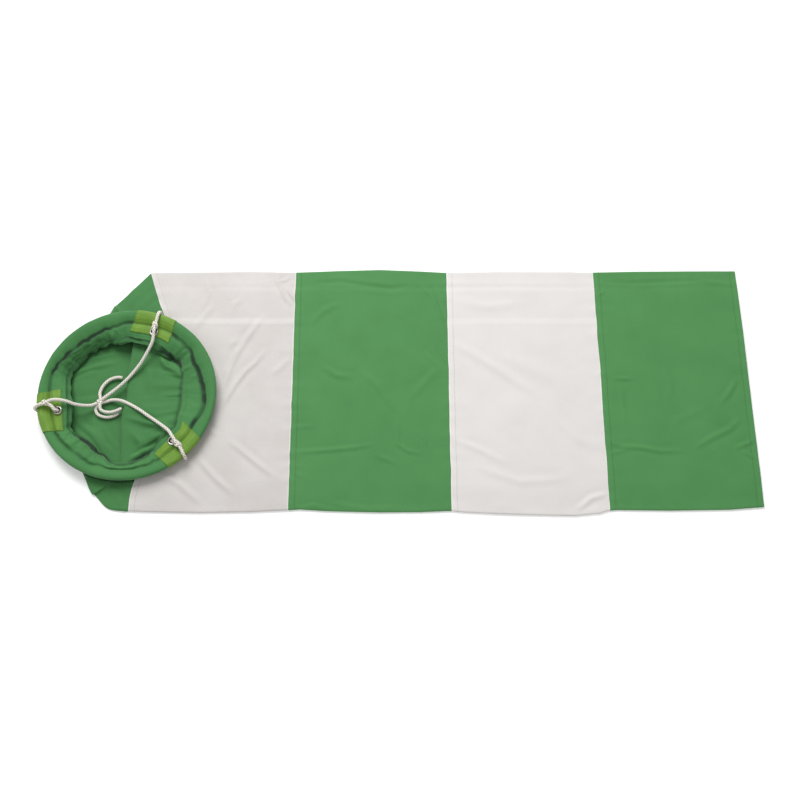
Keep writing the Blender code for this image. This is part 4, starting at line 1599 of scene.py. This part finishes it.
@dataclass
class Cord:
    """A braided cord along a route of points.

    The real braid is finer: it is drawn with four strands each way round, so that it shows.
    """

    name: str
    route: tuple[Point, ...]
    radius: float = 2.75 * MM
    step: float = 0.8 * MM
    sides: int = 24
    plaits: int = 4
    plait_pitch: float = 9.0 * MM
    relief: float = 0.22 * MM

    def centres(self) -> np.ndarray:
        """Ring centres, evenly spaced on a smooth curve through the route."""
        fine = spline_rows(np.array(self.route, float)[:, None, :], 16)
        length = np.linalg.norm(np.diff(fine[:, 0], axis=0), axis=1).sum()
        return even_rows(fine, max(8, round(length / self.step)))[:, 0]

    def build(self) -> tuple[bpy.types.Object, np.ndarray, float]:
        """Build the cord's tube.

        Returns:
            The piece, its ring centres, and its length.
        """
        centre = self.centres()
        ahead = np.gradient(centre, axis=0)
        ahead /= np.linalg.norm(ahead, axis=1, keepdims=True)
        side = np.empty_like(ahead)
        start = np.cross(ahead[0], (0.0, 0.0, 1.0))
        if np.linalg.norm(start) < 0.1:
            start = np.cross(ahead[0], (0.0, 1.0, 0.0))
        side[0] = start / np.linalg.norm(start)
        for i in range(1, len(centre)):
            turned = side[i - 1] - ahead[i] * np.dot(side[i - 1], ahead[i])
            side[i] = turned / np.linalg.norm(turned)
        up = np.cross(ahead, side)
        along = np.concatenate([[0.0], np.cumsum(np.linalg.norm(np.diff(centre, axis=0), axis=1))])
        turn = np.arange(self.sides) / self.sides * 2 * math.pi
        wound = 0.5 * self.plaits * turn[None, :]
        advance = math.pi * along[:, None] / self.plait_pitch * 2
        left = np.cos(wound + advance)
        right = np.cos(wound - advance)
        plait = np.maximum(np.abs(left), np.abs(right))
        radius = self.radius + self.relief * (plait - 0.75)
        cap = np.minimum(np.minimum(along, along[-1] - along) / self.radius, 1.0)
        radius = radius * np.sqrt(np.clip(1 - (1 - cap) ** 2, 0.02, 1.0))[:, None]
        points = centre[:, None, :] + radius[..., None] * (
            np.cos(turn)[None, :, None] * side[:, None, :] + np.sin(turn)[None, :, None] * up[:, None, :]
        )
        turns = np.linspace(0.0, 1.0, self.sides + 1) * 2 * math.pi * self.radius
        uv = np.stack(np.meshgrid(along, turns, indexing="ij"), axis=-1)
        # Painted shade: the tone darkens the grooves between the plaits, where the braid dips.
        piece = add_grid(self.name, points, uv, 0.15 + 0.85 * (plait - 0.7) / 0.3, closed=True, flip=True)
        close_ends(piece)
        return piece, centre, float(along[-1])


def close_ends(piece: bpy.types.Object) -> None:
    """Close a tube's two open ends and turn its faces outwards."""
    mesh = bmesh.new()
    mesh.from_mesh(piece.data)
    edges = [edge for edge in mesh.edges if edge.is_boundary]
    bmesh.ops.holes_fill(mesh, edges=edges, sides=0)
    bmesh.ops.recalc_face_normals(mesh, faces=mesh.faces)
    mesh.to_mesh(piece.data)
    mesh.free()


@dataclass
class TiedKnot:
    """An overhand knot pulled tight: the cord's own trefoil, pressed into a small lump."""

    name: str
    half: tuple[float, float, float]
    place: Matrix
    radius: float = 2.5 * MM

    def build(self) -> bpy.types.Object:
        """Build the knot as a closed tube."""
        turn = np.linspace(0.0, 2 * math.pi, 64, endpoint=False)
        across = np.sin(turn) + 2 * np.sin(2 * turn)
        upward = np.cos(turn) - 2 * np.cos(2 * turn)
        curve = np.stack([across, upward, -np.sin(3 * turn)], axis=-1)
        reach = np.abs(curve).max(axis=0)
        room = np.maximum(np.array(self.half) - self.radius, 0.8 * MM)
        curve = curve / reach * room
        centre = np.array([self.place @ Vector(p) for p in curve])
        route = tuple(map(tuple, np.vstack([centre, centre[:1]])))
        tube = Cord(self.name, route, radius=self.radius, sides=20)
        piece, _, _ = tube.build()
        return piece


@dataclass
class Bridle:
    """Three cords: each is tied over the rim, runs in to the middle knot and ends free."""

    hoop: HoopPlane
    hug: float = 1.8 * MM
    loops: dict[str, tuple[Point, ...]] = field(
        default_factory=lambda: {
            "far": (
                (0.1346, 71.6, 0.0106), (0.1400, 71.9, 0.0106), (0.1455, 72.2, 0.0105),
                (0.1530, 72.5, 0.0075), (0.1560, 72.6, 0.0000), (0.1530, 72.5, -0.0075),
                (0.1455, 72.2, -0.0105), (0.1350, 71.8, -0.0096), (0.1245, 71.4, -0.0084),
                (0.1196, 71.2, -0.0075), (0.1173, 71.2, -0.0046), (0.1170, 71.2, 0.0000),
                (0.1174, 71.2, 0.0034), (0.1190, 71.2, 0.0058),
            ),
            "left": (
                (0.1415, 189.0, 0.0112), (0.1455, 189.4, 0.0106), (0.1530, 189.8, 0.0075),
                (0.1560, 190.2, 0.0000), (0.1530, 191.0, -0.0075), (0.1455, 192.0, -0.0105),
                (0.1350, 193.6, -0.0096), (0.1245, 195.0, -0.0084), (0.1196, 195.2, -0.0075),
                (0.1173, 195.2, -0.0046), (0.1170, 195.2, 0.0000), (0.1178, 195.2, 0.0046),
                (0.1208, 194.8, 0.0082), (0.1226, 192.8, 0.0096), (0.1258, 190.9, 0.0100),
            ),
            "near": (
                (0.1390, 315.2, 0.0108), (0.1430, 314.8, 0.0107), (0.1470, 314.2, 0.0105),
                (0.1535, 313.6, 0.0072), (0.1560, 313.2, 0.0000), (0.1530, 313.2, -0.0075),
                (0.1455, 313.4, -0.0105), (0.1350, 313.9, -0.0096), (0.1245, 314.4, -0.0084),
                (0.1196, 314.5, -0.0075), (0.1173, 314.5, -0.0046), (0.1170, 314.5, 0.0000),
                (0.1175, 314.6, 0.0034), (0.1198, 314.8, 0.0056),
            ),
        }
    )
    legs: dict[str, tuple[Point, ...]] = field(
        default_factory=lambda: {
            "far": (
                (-0.4124, 0.0890, 0.0432), (-0.4130, 0.0812, 0.0408), (-0.4148, 0.0700, 0.0378),
                (-0.4223, 0.0552, 0.0322), (-0.4329, 0.0380, 0.0259), (-0.4436, 0.0245, 0.0211),
                (-0.4559, 0.0105, 0.0175), (-0.4697, -0.0028, 0.0152), (-0.4836, -0.0143, 0.0138),
                (-0.4949, -0.0238, 0.0136),
            ),
            "left": (
                (-0.5768, -0.0365, 0.0384), (-0.5660, -0.0345, 0.0369), (-0.5508, -0.0365, 0.0346),
                (-0.5386, -0.0394, 0.0282), (-0.5264, -0.0392, 0.0208), (-0.5148, -0.0369, 0.0146),
                (-0.5074, -0.0325, 0.0112),
            ),
            "near": (
                (-0.3650, -0.1038, 0.0362), (-0.3700, -0.0965, 0.0355), (-0.3775, -0.0865, 0.0328),
                (-0.3957, -0.0722, 0.0278), (-0.4140, -0.0589, 0.0230), (-0.4319, -0.0461, 0.0200),
                (-0.4498, -0.0354, 0.0172), (-0.4655, -0.0280, 0.0138), (-0.4810, -0.0256, 0.0100),
                (-0.4926, -0.0282, 0.0080),
            ),
        }
    )
    tails: dict[str, tuple[Point, ...]] = field(
        default_factory=lambda: {
            "far": (
                (-0.5017, -0.0213, 0.0100), (-0.5035, -0.0126, 0.0090), (-0.4999, 0.0000, 0.0080),
                (-0.4907, 0.0111, 0.0075), (-0.4778, 0.0163, 0.0075), (-0.4672, 0.0155, 0.0080),
            ),
            "left": (
                (-0.5062, -0.0356, 0.0075), (-0.5086, -0.0418, 0.0065), (-0.5035, -0.0508, 0.0060),
                (-0.4900, -0.0552, 0.0060), (-0.4778, -0.0532, 0.0060), (-0.4680, -0.0472, 0.0060),
            ),
            "near": (
                (-0.5003, -0.0374, 0.0128), (-0.4984, -0.0436, 0.0118), (-0.4916, -0.0472, 0.0110),
                (-0.4811, -0.0481, 0.0112), (-0.4709, -0.0454, 0.0122), (-0.4625, -0.0413, 0.0130),
            ),
        }
    )

    def build(self, wardrobe: Wardrobe) -> None:
        """Build the cords and knots."""
        for side in self.loops:
            self.rim_loop(side, wardrobe)
            self.rim_knot(side, wardrobe)
        self.middle_knot(wardrobe)
        for side in self.legs:
            self.leg(side, wardrobe)
            self.tail(side, wardrobe)

    def finish(self, piece: bpy.types.Object, node: str, body: str | None, wardrobe: Wardrobe) -> None:
        """Dress a cord piece, let it stand for its CAD node, and put it on a body."""
        wardrobe.dress(piece, Slot.CORD)
        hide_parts(node)
        if body:
            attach(piece, body)

    def rim_loop(self, side: str, wardrobe: Wardrobe) -> None:
        """The cord over the rim, from the knot round underneath and up through the eyelet."""
        hug = [(r - self.hug if r > 0.150 else r, a, h) for r, a, h in self.loops[side]]
        route = [tuple(self.hoop.place(np.array(r), np.array(a), np.array(h))) for r, a, h in hug]
        knot = Vector(box_centre("rim_knot_" + side))
        route = [tuple(knot.lerp(Vector(route[0]), 0.35)), *route, tuple(knot.lerp(Vector(route[-1]), 0.35))]
        piece, centre, length = Cord("cord_rim_loop_" + side, tuple(route)).build()
        self.finish(piece, "rim_loop_" + side, "mouth", wardrobe)

    def rim_knot(self, side: str, wardrobe: Wardrobe) -> None:
        """The knot that ties a cord at the rim."""
        middle = Vector(box_centre("rim_knot_" + side))
        turn = math.atan2(middle.y - self.hoop.centre[1], middle.x - self.hoop.centre[0])
        tilted = Matrix.Translation(middle) @ Matrix.Rotation(self.hoop.tilt, 4, "X")
        place = tilted @ Matrix.Rotation(turn, 4, "Z")
        half = {"far": (8.0, 6.0, 5.0), "left": (7.0, 5.5, 4.8), "near": (8.5, 5.8, 5.0)}[side]
        piece = TiedKnot("cord_rim_knot_" + side, tuple(h * MM for h in half), place).build()
        self.finish(piece, "rim_knot_" + side, "mouth", wardrobe)

    def middle_knot(self, wardrobe: Wardrobe) -> None:
        """The knot that ties the three cords together."""
        middle = Vector(box_centre("bridle_knot"))
        half = (6.5 * MM, 7.0 * MM, 5.0 * MM)
        piece = TiedKnot("cord_bridle_knot", half, Matrix.Translation(middle)).build()
        self.finish(piece, "bridle_knot", "bridle", wardrobe)

    def leg(self, side: str, wardrobe: Wardrobe) -> None:
        """A bridle leg, which bends between the hoop and the middle knot."""
        middle = Vector(box_centre("bridle_knot"))
        rim = Vector(box_centre("rim_knot_" + side))
        route = [tuple(rim.lerp(Vector(self.legs[side][0]), 0.35)), *self.legs[side]]
        route.append(tuple(middle.lerp(Vector(self.legs[side][-1]), 0.3)))
        piece, centre, length = Cord("cord_leg_" + side, tuple(route)).build()
        self.finish(piece, "bridle_leg_" + side, None, wardrobe)
        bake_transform(piece)

    def tail(self, side: str, wardrobe: Wardrobe) -> None:
        """A cord's free end beyond the middle knot."""
        middle = Vector(box_centre("bridle_knot"))
        route = (tuple(middle.lerp(Vector(self.tails[side][0]), 0.3)), *self.tails[side])
        piece, centre, length = Cord("cord_tail_" + side, route).build()
        self.finish(piece, "cord_end_" + side, "bridle", wardrobe)


# ---------------------------------------------------------------- the studio


@dataclass
class Studio:
    """Pale floor, soft light and the camera."""

    look_at: Point = (0.007, -0.022, 0.0)
    distance: float = 1.753
    elevation: float = 70.0
    lens: float = 46.22
    floor_size: float = 9.0
    glow: float = 0.22
    sky: float = 0.395

    def camera(self) -> None:
        """Put the camera at its viewing angle."""
        data = bpy.data.cameras.new("camera")
        data.lens = self.lens
        data.sensor_width = 36.0
        data.clip_end = 50.0
        camera = bpy.data.objects.new("camera", data)
        bpy.context.collection.objects.link(camera)
        rise = math.radians(self.elevation)
        back = Vector((0.0, -math.cos(rise), math.sin(rise)))
        camera.location = Vector(self.look_at) + back * self.distance
        camera.rotation_euler = (math.radians(90.0) - rise, 0.0, 0.0)
        bpy.context.scene.camera = camera

    def floor(self) -> None:
        """Lay the pale floor."""
        deselect()
        bpy.ops.mesh.primitive_plane_add(size=self.floor_size, location=(0.0, 0.0, 0.0))
        plane = bpy.context.active_object
        plane.name = "studio_floor"
        bpy.ops.object.mode_set(mode="EDIT")
        bpy.ops.mesh.select_all(action="SELECT")
        bpy.ops.mesh.subdivide(number_cuts=4)
        bpy.ops.object.mode_set(mode="OBJECT")
        material, tree, shader = blank_material("seamless_paper")
        feed(tree, shader, {
            "Base Color": rgba("#F6F6F6"),
            "Emission Color": (1.0, 1.0, 1.0, 1.0),
            "Emission Strength": self.glow,
            "Roughness": 0.9,
            "Specular IOR Level": 0.1,
        })
        plane.data.materials.append(material)

    def light(self, name: str, place: Point, aim: Point, size: float, power: float) -> None:
        """Hang one soft square light.

        Args:
            name: Name of the light.
            place: Where it hangs.
            aim: Point that it faces.
            size: Side of the square, in metres.
            power: Power in watts.
        """
        data = bpy.data.lights.new(name, "AREA")
        data.shape = "SQUARE"
        data.size = size
        data.energy = power
        lamp = bpy.data.objects.new(name, data)
        bpy.context.collection.objects.link(lamp)
        lamp.location = place
        lamp.rotation_euler = (Vector(aim) - Vector(place)).to_track_quat("-Z", "Y").to_euler()

    def build(self) -> None:
        """Set up the whole studio."""
        self.camera()
        self.floor()
        world = bpy.data.worlds.new("studio")
        bpy.context.scene.world = world
        world.use_nodes = True
        tree = world.node_tree
        feed(tree, tree.nodes["Background"], {"Color": (1.0, 1.0, 1.0, 1.0), "Strength": self.sky})
        self.light("key", (-0.6, 1.7, 2.2), (0.0, 0.0, 0.0), 1.7, 74.0)
        self.light("fill", (0.9, -1.6, 2.8), (0.0, 0.0, 0.0), 2.6, 15.0)
        view = bpy.context.scene.view_settings
        view.view_transform = "Standard"
        view.look = "None"


def main() -> None:
    """Build the windsock's looks piece by piece."""
    logging.basicConfig(level=logging.INFO, format="%(name)s: %(message)s")
    Studio().build()
    LOG.info("studio ready")
    wardrobe = Wardrobe()
    hoop = HoopPlane()
    Bridle(hoop).build(wardrobe)
    LOG.info("bridle cords and knots ready")
    sock = Sock()
    sock.build(wardrobe)
    LOG.info("four flat stripes and their stitching ready")
    band = MouthBand(hoop)
    patches = [RimPatch("far", band, 2.5), RimPatch("left", band, -1.0, 4), RimPatch("near", band, 0.5)]
    band.build(wardrobe, patches)
    for patch in patches:
        patch.build(wardrobe)
    LOG.info("mouth band, patches and eyelets ready")
    MouthCone(band, sock.skin).build(wardrobe)
    LOG.info("first stripe ready")
    deselect()


if __name__ == "__main__":
    main()
